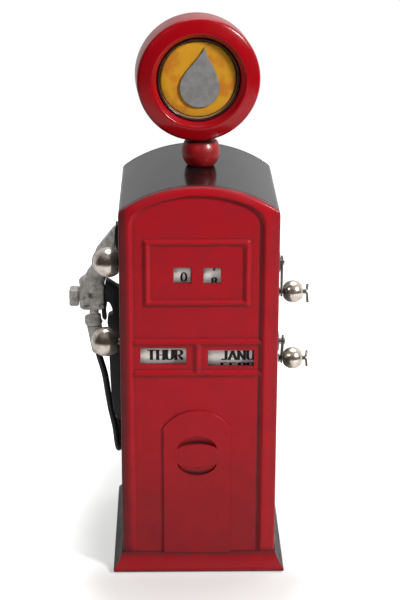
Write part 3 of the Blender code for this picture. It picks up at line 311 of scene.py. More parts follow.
def makeFinish(name):
    colour, worn, washShadeColour, patch, roughness, fine, strength, more = finishes[name]
    material = bpy.data.materials.new(name)
    material.use_nodes = True
    tree = material.node_tree
    place = addNode(tree, "TexCoord").outputs["Object"]

    def grouped(group, **inputs):
        return addNode(tree, "Group", {"Vector": place, **inputs}, node_tree=group).outputs[0]

    mask = grouped(patches, Scale=patch)
    dark = grouped(washAndPaintedShade, Hollow=addNode(tree, "Attribute", attribute_name="hollow").outputs["Fac"])
    height = grouped(grain, Scale=fine)
    bump = addNode(tree, "Bump", {"Strength": strength, "Distance": 0.2 * mm, "Height": height})
    inputs = {
        # the hollow attribute mixes in the third colour: dark wash and painted shade, or on the globe rim a
        # pale painted highlight
        "Base Color": mixed(tree, dark, mixed(tree, mask, colour, worn), washShadeColour),
        "Normal": bump.outputs["Normal"], "Roughness": ramp(tree, mask, (0, 1), roughness, "LINEAR"),
        "Metallic": more.get("metallic", 0.0), "Specular IOR Level": more.get("specular", 0.5),
    }
    if "coat" in more:
        inputs.update({"Coat Weight": more["coat"], "Coat Roughness": 0.12})
    feed(tree, tree.nodes["Principled BSDF"], inputs)
    return material


materials = {name: makeFinish(name) for name in finishes}
print("finishes are made:", len(materials))


def finishPiece(name, bm, finish, body="pump_body", replaced=(), sharp=50):
    for face in bm.faces:
        face.smooth = True
    piece = asObject(name, bm)
    piece.data.set_sharp_from_angle(angle=radians(sharp))
    piece.data.materials.append(materials[finish])
    if replaced:
        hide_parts(*replaced)
    if body:
        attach(piece, body)
    return piece


def addModifier(piece, kind, **settings):
    modifier = piece.modifiers.new(kind.lower(), kind)
    for key, value in settings.items():
        setattr(modifier, key, value)


def softenEdges(piece, width, segments, angle):
    addModifier(piece, "BEVEL", width=width * mm, segments=segments, limit_method="ANGLE",
                angle_limit=radians(angle))


def faceOutward(bm):
    bmesh.ops.recalc_face_normals(bm, faces=bm.faces)


def pullEdges(bm, edges):  # extrudes edges where they are: the new points and the new border
    made = bmesh.ops.extrude_edge_only(bm, edges=edges)["geom"]
    verts = [g for g in made if isinstance(g, bmesh.types.BMVert)]
    return verts, [g for g in made if isinstance(g, bmesh.types.BMEdge) and g.is_boundary]


def pushFaces(bm, faces):  # extrudes faces where they are: the new points
    made = bmesh.ops.extrude_face_region(bm, geom=faces)["geom"]
    return [g for g in made if isinstance(g, bmesh.types.BMVert)]


def slab(outline, start, end):  # a solid with an outline in x and z, from one y to another
    bm = bmesh.new()
    face = bm.faces.new([bm.verts.new((x * mm, start * mm, z * mm)) for x, z in outline])
    for vert in pushFaces(bm, [face]):
        vert.co.y = end * mm
    faceOutward(bm)
    return bm


def roundOff(bm, offset, chosen):  # rounds the edges that a rule picks
    edges = [e for e in bm.edges if chosen(e)]
    bmesh.ops.bevel(bm, geom=edges, offset=offset * mm, affect="EDGES", segments=3, profile=0.5, material=-1)


def skin(rings, closed=True):  # quads between rows of points; closed rows make a solid with both ends shut
    bm = bmesh.new()
    rows = [[bm.verts.new(Vector(place) * mm) for place in ring] for ring in rings]
    for low, high in zip(rows, rows[1:]):
        for i in range(0 if closed else 1, len(low)):
            bm.faces.new((low[i - 1], low[i], high[i], high[i - 1]))
    if closed:
        bm.faces.new(rows[0])
        bm.faces.new(rows[-1])
    faceOutward(bm)
    return bm


def shadeHollows(bm, rule):  # how much of the finish's wash colour each point takes, by a rule of its place in mm: painted shade, and on the globe rim a pale painted highlight
    layer = bm.verts.layers.float.new("hollow")
    for vert in bm.verts:
        vert[layer] = rule(vert.co / mm)


def spinProfile(points, steps, centre, axis):  # points are (radius, along) in mm, turned about the axis
    bm = bmesh.new()
    line = [bm.verts.new((r * mm, 0, a * mm)) for r, a in points]
    edges = [bm.edges.new(pair) for pair in zip(line, line[1:])]
    bmesh.ops.spin(
        bm, geom=line + edges, cent=(0, 0, 0), axis=(0, 0, 1), angle=2 * pi,
        steps=steps, use_merge=True,
    )
    bmesh.ops.remove_doubles(bm, verts=bm.verts, dist=1e-6)
    faceOutward(bm)
    turn = Vector((0, 0, 1)).rotation_difference(Vector(axis)).to_matrix().to_4x4()
    bmesh.ops.transform(bm, matrix=Matrix.Translation(Vector(centre) * mm) @ turn, verts=bm.verts)
    return bm


def arcPoints(centre, radius, start, end, steps):
    angles = [radians(start + (end - start) * i / steps) for i in range(steps + 1)]
    return [(centre[0] + radius * cos(a), centre[1] + radius * sin(a)) for a in angles]


def smooth(value, low, high):
    t = min(max((value - low) / (high - low), 0.0), 1.0)
    return t * t * (3 - 2 * t)


hose = {
    "route": [
        (-39.65, 0.0, 79.35), (-39.1, 0.25, 76.9), (-37.4, 2.6, 69.0), (-36.4, 4.6, 60.4),
        (-35.2, 5.2, 52.2), (-33.7, 5.8, 44.4), (-32.95, 8.3, 35.8), (-32.6, 16.1, 30.5),
        (-32.6, 23.7, 35.8), (-32.8, 26.2, 44.4), (-33.0, 26.6, 51.0), (-33.0, 26.6, 58.0),
    ],
    "radius": 1.3, "count": 132, "sides": 20,
}


def smoothRoute(route, count):
    points = [Vector(p) for p in route]
    padded = [points[0] * 2 - points[1], *points, points[-1] * 2 - points[-2]]
    spans = len(points) - 1
    line = []
    for step in range(count + 1):
        placeOn = step / count * spans
        span = min(int(placeOn), spans - 1)
        t = placeOn - span
        a, b, c, d = padded[span:span + 4]
        line.append(b + ((c - a) * t + (a * 2 - b * 5 + c * 4 - d) * t * t
                         + (b * 3 - a - c * 3 + d) * t * t * t) / 2)
    return line


def sweepTube(line, radius, sides):  # a round section carried along the line without twisting
    tangents = [(b - a).normalized() for a, b in zip(line[:1] + line[:-1], line[1:] + line[-1:])]
    across = tangents[0].orthogonal().normalized()
    angles = [2 * pi * i / sides for i in range(sides)]
    rings = []
    for point, along in zip(line, tangents):
        across = (across - along * across.dot(along)).normalized()
        other = along.cross(across)
        rings.append([point + (across * cos(a) + other * sin(a)) * radius for a in angles])
    return skin(rings)


def makeCoupling():
    top, bottom = Vector((-41.2, 0, 91.7)), Vector((-39.7, 0, 79.8))
    length = (top - bottom).length
    points = [(0.0, length), (2.7, length), (3.0, length - 0.25), (2.95, length - 2.2), (2.72, length - 6),
              (2.5, 1.6), (2.4, 0.7), (2.1, 0.15), (1.8, 0.0), (0.0, 0.0)]
    bm = spinProfile(points, 56, bottom, top - bottom)
    return finishPiece("hoseEnd", bm, "smoothPewter", "nozzle", ["hose_coupling"], sharp=45)


def makeHose():
    line = smoothRoute(hose["route"], hose["count"])
    bm = sweepTube(line, hose["radius"], hose["sides"])
    piece = finishPiece("fuelHose", bm, "hoseRubber", None, ["hose"], sharp=35)
    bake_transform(piece)
    makeCoupling()


makeHose()

shell = {
    "halfWidth": 30.0, "shoulder": 147.7, "rise": 9.9, "corner": 1.2, "front": -33.4,
    "rimBack": -30.9, "casingFront": -30.6, "casingBack": 32.1, "bottom": 2.4, "wall": 1.0,
}
archRadius = (shell["halfWidth"] ** 2 + shell["rise"] ** 2) / (2 * shell["rise"])
archCentre = shell["shoulder"] + shell["rise"] - archRadius


def archTop(x):
    top = archCentre + sqrt(archRadius ** 2 - x * x)
    over = abs(x) - (shell["halfWidth"] - shell["corner"])
    if over > 0:
        top -= shell["corner"] - sqrt(max(shell["corner"] ** 2 - over * over, 0))
    return top


def archOutline(bottom, steps=56):
    half = shell["halfWidth"]
    across = [half * cos(pi * i / steps) for i in range(steps + 1)]
    return [(half, bottom), *[(x, archTop(x)) for x in across], (-half, bottom)]


frontPanel = {
    "crestSide": 4.8, "footSide": 6.4, "archScale": 1.65, "turn": 6.0, "height": 1.2,
    "edgeRound": 0.7, "frameAt": (-0.9, 124.2), "frameHalf": (18.8, 11.9), "ridgeHalf": 1.8,
    "frameRidge": 1.6, "frameHeight": 0.9, "leftScale": 1.22, "rightScale": 0.91,
    "rails": (83.9, 96.6), "mullion": -0.7, "railHeight": 0.8, "archFrom": 137.0,
    "windows": [
        (-6.25, 123.3, 3.4, 3.2), (4.85, 123.1, 3.4, 3.2),
        (-13.55, 90.95, 8.8, 3.4), (12.15, 90.05, 8.8, 3.4),
    ],
    "doorAt": -0.7, "doorHalf": 13.0, "doorBottom": 7.6, "doorSpring": 61.6, "doorRise": 7.0,
    "doorProud": 0.75, "pullAt": 49.6, "pullHalf": 7.7,
}


def ridge(distance, half):  # a rounded bar, 1 at its crest and 0 at its foot
    t = min(abs(distance) / half, 1.0)
    return (cos(pi * t) + 1) / 2


def edgeDistance(x, z):
    over = archRadius - hypot(x, z - archCentre) if z > archCentre else 99
    return min(shell["halfWidth"] - abs(x), over)


def softMin(a, b, k):
    t = min(max(0.5 + 0.5 * (b - a) / k, 0), 1)
    return b + (a - b) * t - k * t * (1 - t)


def lowShade(z):  # painted shade: the front grows darker towards the foot
    return 0.4 * smooth(75 - z, 0, 62)


def doorDistance(x, z):
    f = frontPanel
    radius = (f["doorHalf"] ** 2 + f["doorRise"] ** 2) / (2 * f["doorRise"])
    centre = f["doorSpring"] + f["doorRise"] - radius
    sides = abs(x - f["doorAt"]) - f["doorHalf"]
    over = hypot(x - f["doorAt"], z - centre) - radius if z > f["doorSpring"] else -99
    return max(sides, over) if z > f["doorBottom"] else 99


def panelHeight(x, z):  # how far the front stands out at a place, in mm, and how much painted shade it gets
    f = frontPanel
    side = (shell["halfWidth"] - abs(x)) * (f["leftScale"] if x < 0 else f["rightScale"])
    over = (archRadius - hypot(x, z - archCentre)) * f["archScale"] if z > archCentre else 99
    d = softMin(side, over, f["turn"])
    crest, foot = f["crestSide"], f["footSide"]
    if d < crest:
        moulding = f["height"] * (1 - 0.85 * ((crest - d) / crest) ** 1.4)
    else:
        moulding = f["height"] * ridge(d - crest, foot - crest)
    # painted shade in the crease at the moulding's inner foot, heavier to the right
    paintedShade = exp(-((d - foot - 0.15) / 0.45) ** 2) * (0.5 + 0.4 * smooth(x, -10, 26))
    inside = smooth(d, foot - 1.4, foot + 0.3)
    dx = abs(x - f["frameAt"][0]) - f["frameHalf"][0]
    dz = abs(z - f["frameAt"][1]) - f["frameHalf"][1]
    around = -softMin(-dx, -dz, 0.8)
    frameRidge = f["frameHeight"] * ridge(around, f["frameRidge"])
    # painted shade along both feet of the digit frame
    paintedShade = max(paintedShade, 0.42 * exp(-((abs(around) - f["frameRidge"]) / 0.35) ** 2))
    bars = [(z - railZ, 0.4) for railZ in f["rails"]]
    if f["rails"][0] < z < f["rails"][1]:
        bars.append((x - f["mullion"], 0.35))
    rails = max(ridge(away, f["ridgeHalf"]) for away, _ in bars)
    for away, dark in bars:
        # painted shade along the feet of the rails and the mullion
        paintedShade = max(paintedShade, dark * inside * exp(-((abs(away) - f["ridgeHalf"]) / 0.4) ** 2))
    height = max(moulding, frameRidge, rails * f["railHeight"] * inside) * smooth(z, 6.4, 10.5)
    height -= paintedShade * 0.1
    rim = doorDistance(x, z)
    leftward = smooth(x, f["doorAt"] + 9, f["doorAt"] - 9)
    # painted shadow along the door's rim, heavier on its left
    paintedShade = max(paintedShade, (0.25 + 0.65 * leftward) * exp(-(rim / 0.35) ** 2) * (z > 8))
    doorEdge = f["doorHalf"] - 1.6 - abs(x - f["doorAt"])
    doorTop = f["doorSpring"] + f["doorRise"] - 2.4 - z - (x - f["doorAt"]) ** 2 / 26
    height -= 1.4 * smooth(min(doorEdge, doorTop), 0, 0.8)  # room behind the door's finger pulls
    edge = max(edgeDistance(x, z), 0)
    if edge < f["edgeRound"]:
        fall = (f["edgeRound"] - edge) / f["edgeRound"]
        height -= f["edgeRound"] * (1 - sqrt(max(1 - fall * fall, 0)))
        # painted shade on the rounded outer edge
        paintedShade = max(paintedShade, 0.55 * fall)
    # painted shade on the outer margin: heavy on the left, which faces away from the light, and light on the
    # right to set off the crest
    outward = smooth(crest - side, 0.3, 2.4) if x < 0 else smooth(3.4 - side, 0, 1.6)
    paintedShade = max(paintedShade, (0.74 if x < 0 else 0.26) * outward)
    # painted shade just above the skirt, and darker towards the foot
    paintedShade = max(paintedShade, 0.55 * smooth(10.5 - z, 0, 3), lowShade(z) * (1 - 0.7 * smooth(x, 22.5, 25)))
    return height, paintedShade


def spacedLines(low, high, stops, fine, coarse):  # grid lines through every stop, closer together near them
    marks = sorted({low, high, *[s for s, _ in stops if low < s < high]})
    lines = [low]
    for a, b in zip(marks, marks[1:]):
        at = a
        while at < b - 1e-6:
            near = min(abs(at - s) - reach for s, reach in stops)
            step = fine if near < 0.1 else min(coarse, fine + near * 0.4)
            at = b if at + step * 1.5 > b else at + step
            lines.append(at)
    return lines


def makeFrontPanel():
    f = frontPanel
    windows, split = f["windows"], f["archFrom"]
    half, top = shell["halfWidth"], shell["shoulder"] + shell["rise"]
    sides = ((half, 0), (half - shell["corner"], 0), (26.5, 3.6))
    stopsX = [(s * x, reach) for x, reach in sides for s in (-1, 1)]
    stopsX += [(f["frameAt"][0] + s * f["frameHalf"][0], 2.4) for s in (-1, 1)] + [(f["mullion"], 2.4)]
    stopsZ = [(z, 2.4) for z in f["rails"]]
    stopsZ += [(f["frameAt"][1] + s * f["frameHalf"][1], 2.4) for s in (-1, 1)] + [(top - 2.5, 2.8)]
    for x, z, halfX, halfZ in windows:
        stopsX += [(x - halfX, 0.2), (x + halfX, 0.2)]
        stopsZ += [(z - halfZ, 0.2), (z + halfZ, 0.2)]
    linesX = spacedLines(-half, half, stopsX, 0.3, 0.9)
    linesZ = spacedLines(6.5, top, stopsZ, 0.3, 1.1)
    nx, nz = len(linesX) - 1, len(linesZ) - 1
    bm = bmesh.new()
    bmesh.ops.create_grid(bm, x_segments=nx, y_segments=nz, size=0.5)
    hollow = bm.verts.layers.float.new("hollow")
    for vert in bm.verts:
        x = linesX[round((vert.co.x + 0.5) * nx)]
        z = linesZ[round((vert.co.y + 0.5) * nz)]
        if z > split:  # the upper rows follow the arch
            z = split + (z - split) * (archTop(x) - split) / (top - split)
        height, vert[hollow] = panelHeight(x, z)
        vert.co = (x * mm, (shell["front"] - height) * mm, z * mm)

    def inWindow(place, margin):
        x, z = place.x / mm, place.z / mm
        return any(abs(x - w[0]) < w[2] + margin and abs(z - w[1]) < w[3] + margin for w in windows)

    doomed = [face for face in bm.faces if inWindow(face.calc_center_median(), 0)]
    bmesh.ops.delete(bm, geom=doomed, context="FACES")
    rim = [e for e in bm.edges if e.is_boundary]
    inner = [e for e in rim if any(inWindow(v.co, 0.1) for v in e.verts)]
    chosen = set(inner)
    for vert in pullEdges(bm, [e for e in rim if e not in chosen])[0]:
        vert.co.y = shell["rimBack"] * mm
        # painted shade on the panel's outer rim
        vert[hollow] = 0.7
    # painted shade in the window reveals, deeper further in
    for back, tuck, dark in ((0.12, 0.1, 0.2), (1.3, 0, 0.5)):
        fresh, inner = pullEdges(bm, inner)
        for vert in fresh:
            at = vert.co.xz / mm
            window = min(windows, key=lambda w: max(abs(at.x - w[0]) - w[2], abs(at.y - w[1]) - w[3]))
            vert.co.y += back * mm
            for side, i in (("x", 0), ("z", 1)):
                away = at[i] - window[i]
                if abs(abs(away) - window[i + 2]) < 0.15:
                    setattr(vert.co, side, getattr(vert.co, side) - copysign(tuck * mm, away))
            vert[hollow] = dark
    faceOutward(bm)
    centre = Vector((0, shell["front"], 110)) * mm
    middle = min(bm.faces, key=lambda g: (g.calc_center_median() - centre).length)
    if middle.normal.y > 0:
        bmesh.ops.reverse_faces(bm, faces=bm.faces)
    piece = finishPiece("frontShell", bm, "frontRed", replaced=["front_panel"])
    addModifier(piece, "SOLIDIFY", thickness=0.8 * mm, offset=-1)


def doorOutline():
    f = frontPanel
    x, half = f["doorAt"], f["doorHalf"]
    radius = (half ** 2 + f["doorRise"] ** 2) / (2 * f["doorRise"])
    reach = degrees(asin(half / radius))
    top = arcPoints((x, f["doorSpring"] + f["doorRise"] - radius), radius, 90 - reach, 90 + reach, 24)
    return [(x + half, f["doorBottom"]), *top, (x - half, f["doorBottom"])]


def makeDoor():
    f, front = frontPanel, shell["front"]
    bm = slab(doorOutline(), front + 1.6, front - f["doorProud"])
    roundOff(bm, 0.2, lambda e: all(v.co.y < (front - 0.5) * mm for v in e.verts))
    piece = finishPiece("servicePanel", bm, "frontRed", sharp=40)
    for sign in (1, -1):
        cutWith(piece, pullCutter(sign))
    settle(piece)
    hollow = piece.data.attributes.new("hollow", "FLOAT", "POINT")
    for vert in piece.data.vertices:
        x, y, z = vert.co / mm
        deep = y - (front - f["doorProud"])
        inPull = abs(x - f["doorAt"]) < f["pullHalf"] + 0.2 and abs(z - f["pullAt"]) < 9
        # painted shade: deep in the finger pulls, and on the door's rims, heavier on the left and top
        edge = 0.5 if x < f["doorAt"] or z > 60 else 0.15
        reach = (0.6, 1.3) if z > f["pullAt"] else (0.3, 0.9)
        dark = smooth(deep, *reach) if inPull else edge * (deep > 0.25)
        hollow.data[vert.index].value = max(dark, lowShade(z))
    addModifier(piece, "WEIGHTED_NORMAL", keep_sharp=True)


def pullCutter(sign):  # half-moon pocket, deepest along its straighter edge
    f = frontPanel
    bm = bmesh.new()
    bmesh.ops.create_grid(bm, x_segments=28, y_segments=5, size=0.5)
    for vert in bm.verts:
        angle = pi * (0.5 - vert.co.x)
        share = vert.co.y + 0.5
        rise = sin(angle) * (2.1 + 3.5 * share) + 0.08 * share
        slope = (1 - share) ** 0.8 if sign > 0 else share ** 1.3
        deep = 0.12 + (1.35 if sign > 0 else 1.0) * slope * sin(angle) ** 0.5
        x = f["doorAt"] + cos(angle) * f["pullHalf"]
        vert.co = Vector((x, shell["front"] - f["doorProud"] + deep, f["pullAt"] + sign * (2.7 + rise))) * mm
    for vert in pushFaces(bm, bm.faces[:]):
        vert.co.y = (shell["front"] - 2) * mm
    faceOutward(bm)
    return asObject("pullCutter", bm)


def cutWith(piece, tool):
    addModifier(piece, "BOOLEAN", object=tool, operation="DIFFERENCE", solver="EXACT")


def settle(piece, sharp=35):  # makes the modifiers' result the mesh, and takes the cutters away
    graph = bpy.context.evaluated_depsgraph_get()
    made = bpy.data.meshes.new_from_object(piece.evaluated_get(graph))
    tools = [m.object for m in piece.modifiers if m.type == "BOOLEAN"]
    piece.modifiers.clear()
    piece.data = made
    for tool in tools:
        bpy.data.objects.remove(tool)
    made.set_sharp_from_angle(angle=radians(sharp))


skirt = {"flare": 3.7, "top": 7.8, "low": 0.3, "neck": 0.44, "curve": 1.7, "wall": 1.2}


def skirtProfile():
    s = skirt
    flare, low, top, knee = s["flare"], s["low"], s["top"], 1.75
    line = [(flare - 0.9, low), (flare - 0.45, low + 0.1), (flare - 0.12, low + 0.4), (flare, low + 0.85),
            (flare - 0.02, low + 1.35)]
    for i in range(1, 13):
        t = i / 12
        out = (flare - s["neck"] - 0.06) * (1 - t) ** s["curve"]
        line.append((s["neck"] + out, knee + (top - knee) * t))
    return line + [(-s["wall"], top), (-s["wall"], low)]


def makeSkirt(name, finish, corners, replaced):
    halfX, halfY = shell["halfWidth"], -shell["front"]
    profile = skirtProfile()
    bm = skin([[((halfX + flare) * x, (halfY + flare) * y, z) for flare, z in profile] for x, y in corners])

    # painted shade: an even base over the whole skirt, which faces up, more along the top where the panel
    # meets it and at the corners, and along the bottom edge
    def hollow(place):
        corner = smooth(abs(place.x), halfX - 4, halfX + 2)
        upper = 0.36 + (0.3 + 0.3 * corner) * smooth(place.z, 5.4, 7.8)
        return max(0.9 * smooth(1.7 - place.z, 0, 1.0), upper)

    shadeHollows(bm, hollow)
    finishPiece(name, bm, finish, replaced=replaced, sharp=38)


makeFrontPanel()
makeDoor()
makeSkirt("frontSkirt", "frontRed", [(1, -1), (-1, -1)], [])
makeSkirt("darkSkirt", "footEnamel", [(-1, -1), (-1, 1), (1, 1), (1, -1)], ["side_skirt"])
print("front and foot are made")


def makeCasing():
    front, back = shell["casingFront"], shell["casingBack"]
    outline = archOutline(shell["bottom"])
    rows = [[(x, y, z) for x, z in outline] for y in (front, front + 0.4, 0.0, back - 0.4, back)]
    bm = skin(rows, closed=False)
    roof = max(bm.faces, key=lambda g: g.calc_center_median().z)
    if roof.normal.z < 0:
        bmesh.ops.reverse_faces(bm, faces=bm.faces)
    piece = finishPiece("darkCasing", bm, "darkEnamel", replaced=["casing"])
    addModifier(piece, "SOLIDIFY", thickness=shell["wall"] * mm, offset=-1, use_even_offset=True)
    softenEdges(piece, 0.15, 2, 60)
    addModifier(piece, "WEIGHTED_NORMAL", keep_sharp=True)


def makeRearCover():
    low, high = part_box("rear_cover")
    bm = slab(archOutline(low.z / mm), low.y / mm, high.y / mm)
    piece = finishPiece("backPlate", bm, "darkEnamel", replaced=["rear_cover"])
    for n in range(1, 5):
        a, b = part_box("rear_screw_%d" % n)
        tool = bmesh.new()
        hole = 1.2 * mm
        bmesh.ops.create_cone(tool, cap_ends=True, segments=32, radius1=hole, radius2=hole, depth=10 * mm)
        turn = Matrix.Translation(((a.x + b.x) / 2, (low.y + high.y) / 2, (a.z + b.z) / 2))
        bmesh.ops.transform(tool, matrix=turn @ Matrix.Rotation(pi / 2, 4, "X"), verts=tool.verts)
        cutWith(piece, asObject("screwHole", tool))
    settle(piece)
    softenEdges(piece, 0.35, 3, 50)
    addModifier(piece, "WEIGHTED_NORMAL", keep_sharp=True)


makeCasing()
makeRearCover()
print("casing is made")

globe = {
    "at": (-0.3, -1.0, 191.45), "turn": 4.5, "radius": 23.3, "half": 8.0, "edge": 1.5, "crest": 17.7,
    "inner": 15.95, "rimInner": 14.7, "ball": (1.1, -0.9, 162.8), "ballRadius": 7.4, "collar": 4.1,
}
fuelDrop = {"at": (0.1, 188.3), "radius": 7.6, "tip": (1.9, 15.4), "front": -6.05, "thick": 0.55}


def turnGlobe(bm):  # the sign looks a little to the right
    centre = Matrix.Translation(Vector(globe["at"]) * mm)
    turn = centre @ Matrix.Rotation(radians(globe["turn"]), 4, "Z") @ centre.inverted()
    bmesh.ops.transform(bm, matrix=turn, verts=bm.verts)


def roundBox(name):  # middle, radius, front and back in mm of a round piece that faces forward
    low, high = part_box(name)
    middle = (low + high) / 2 / mm
    return (middle.x, 0, middle.z), (high.x - low.x) / 2 / mm, -low.y / mm, -high.y / mm


def makeGlobe():
    g = globe
    r, h, e, crest, inner = g["radius"], g["half"], g["edge"], g["crest"], g["inner"]
    x, y, z = g["at"]
    facing = (0, -1, 0)
    profile = [
        *arcPoints((r - e, h - 1.1 - e), e, 66, 0, 8), *arcPoints((r - e, e - h), e, 0, -90, 8),
        (r - 3.0, -h), (r - 3.0, 1.5 - h), (r - 1.8, 1.5 - h), (r - 1.8, h - 4.6), (inner, h - 4.6),
        (inner, h - 2.3), (inner + 0.15, h - 2.05), (crest - 0.35, h - 0.35), (crest - 0.12, h - 0.08),
        (crest + 0.15, h), (crest + 0.6, h - 0.03), (crest + 1.4, h - 0.2), (crest + 2.6, h - 0.55),
        (r - 1.5, h - 0.98),
    ]

    def ringHollow(p):  # painted shade, only behind the lip
        return 0.0 if p.y < y - h + 3 or hypot(p.x - x, p.z - z) > crest else 0.4

    def rimHollow(p):  # painted highlight: the inner lip of the rim is painted pale, most below
        return (0.1 + 0.75 * smooth(z - p.z, -2, 9)) * (hypot(p.x - x, p.z - z) < g["rimInner"] + 0.1)

    ring = spinProfile(profile + profile[:1], 128, g["at"], facing)
    shadeHollows(ring, ringHollow)
    _, outer, front, back = roundBox("globe_bezel")
    w = g["rimInner"]
    points = [(outer - 0.3, front), (outer, front - 0.3), (outer, back), (w, back), (w, front - 1.0),
              (w + 0.15, front - 0.3), (w + 0.4, front), (outer - 0.3, front)]
    rim = spinProfile(points, 96, (x, 0, z), facing)
    shadeHollows(rim, rimHollow)
    _, outer, front, back = roundBox("globe_face")
    points = [(0.0, front - 0.12), (outer * 0.4, front - 0.1), (outer * 0.8, front - 0.02),
              (outer - 0.6, front), (outer, front - 0.4), (outer, back), (0.0, back)]
    disc = spinProfile(points, 96, (x, 0, z), facing)
    middle, outer, front, back = roundBox("globe_back")
    points = [(0.0, front), (outer, front), (outer, back + 0.3), (outer - 0.3, back), (0.0, back)]
    rear = spinProfile(points, 96, middle, facing)
    for name, bm, finish, slot, node, sharp in (
        ("globeRing", ring, "globeRed", "red_paint", "globe_housing", 40),
        ("globeRim", rim, "blackRim", "black_enamel", "globe_bezel", 60),
        ("globeDisc", disc, "yellowEnamel", "yellow_enamel", "globe_face", 60),
        ("globeBack", rear, "globeRed", "red_paint", "globe_back", 60),
    ):
        turnGlobe(bm)
        finishPiece(name, bm, finish, replaced=[node], sharp=sharp)


def makeFuelDrop():  # a plain drop standing up from the disc, its rim softened
    d = fuelDrop
    start = radians(25)
    tip = Vector(d["tip"])
    angles = [start - (pi + 2 * start) * i / 40 for i in range(41)]
    outline = [Vector((cos(a), sin(a))) * d["radius"] for a in angles]
    left, right = outline[-1], outline[0]
    for a, b, sway in ((left, tip, -0.9), (tip, right, 0.9)):
        for i in range(1, 12):
            t = i / 12
            swell = Vector((sway * sin(pi * t) * (1 - 2 * (t if a == left else 1 - t)), 0))
            outline.append(a.lerp(b, t) + swell)
        if b == tip:
            outline.append(tip)
    front = d["front"]
    bm = slab([Vector(d["at"]) + p for p in outline], front + d["thick"], front)
    roundOff(bm, 0.3, lambda e: all(v.co.y < front * mm + 1e-7 for v in e.verts))
    middle = d["at"][1] + 2
    # painted shade on the drop's sides, heavier on the lower half
    shadeHollows(bm, lambda p: (0.75 if p.z < middle else 0.2) * smooth(p.y, front + 0.02, front + 0.3))
    turnGlobe(bm)
    piece = finishPiece("fuelDrop", bm, "emblemGrey", replaced=["globe_emblem"])
    addModifier(piece, "WEIGHTED_NORMAL", keep_sharp=True)


def makeBall():
    g = globe
    x, y, z = g["ball"]
    radius = g["ballRadius"]
    seat = archTop(x) + 0.05
    top = g["at"][2] - g["radius"] - 1.0
    low, high = asin((seat - z) / radius), asin((top - z) / radius)
    angles = [high - 0.03 + (low - high + 0.03) * i / 40 for i in range(41)]
    points = [(0.0, top - z), (radius * cos(high) - 0.5, top - z)]
    points += [(radius * cos(a), radius * sin(a)) for a in angles]
    points.append((0.0, radius * sin(low)))
    bm = spinProfile(points, 72, (x, y, z), (0, 0, 1))
    # painted shade where the ball sits on the roof and under the globe
    shadeHollows(bm, lambda p: max(0.8 * smooth(seat + 1.0 - p.z, 0, 1.0), 0.9 * smooth(p.z, top - 1.2, top)))
    finishPiece("neckBall", bm, "ballRed", replaced=["neck_ball"])
    collar = [(0.0, top + 1.3), (g["collar"], top + 1.3), (g["collar"], top + 0.1), (0.0, top + 0.1)]
    finishPiece("neckCollar", spinProfile(collar, 48, (x, y, 0), (0, 0, 1)), "blackRim")
    pad = [(0.0, top + 2.0), (5.9, top + 2.0), (5.9, top + 1.0), (5.6, top + 0.75), (0.0, top + 0.75)]
    finishPiece("neckPad", spinProfile(pad, 64, (x - 0.6, y, 0), (0, 0, 1)), "globeRed")


makeGlobe()
makeFuelDrop()
makeBall()
print("globe and ball are made")

knobs = {
    "tens_knob": {"label": "tensKnob", "body": "tens_set", "back": 4.1},
    "weekday_knob": {"label": "weekdayKnob", "body": "weekday_set", "back": 4.6},
    "units_bead": {"label": "unitsBead", "body": "units_ball", "back": 3.7, "bore": 1.15},
    "month_bead": {"label": "monthBead", "body": "month_ball", "back": 3.7, "bore": 1.15},
}
knobSwell = 0.25


def makeKnobs():
    for name, facts in knobs.items():
        low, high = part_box(name)
        middle = (low + high) / 2 / mm
        radius = (high.z - low.z) / 2 / mm
        bore, back = facts.get("bore"), facts["back"]
        if bore:  # a bead, flat at both ends round its hole
            flat = asin(back / radius)
            reach = sqrt(radius ** 2 - back ** 2) - 0.3
            angles = [flat - 0.06 - (2 * flat - 0.12) * i / 32 for i in range(33)]
            ends = [(bore, back), (bore + 0.2, back), (reach, back)]
            points = ends + [(radius * cos(a), radius * sin(a)) for a in angles]
            points += [(r, -along) for r, along in reversed(ends)] + ends[:1]
            axis = (1, 0, 0)
        else:  # a knob, flat where it meets its axle
            radius += knobSwell
            flat = asin(back / radius)
            angles = [pi / 2 - (pi / 2 + flat - 0.05) * i / 40 for i in range(1, 41)]
            points = [(0.0, radius)] + [(radius * cos(a), radius * sin(a)) for a in angles]
            points += [(3.0, -back), (0.0, -back)]
            middle.x = low.x / mm + radius
            axis = (-1, 0, 0)
        bm = spinProfile(points, 64, middle, axis)
        finishPiece(facts["label"], bm, "warmNickel", body=facts["body"], replaced=[name])


makeKnobs()
print("knobs and beads are made")

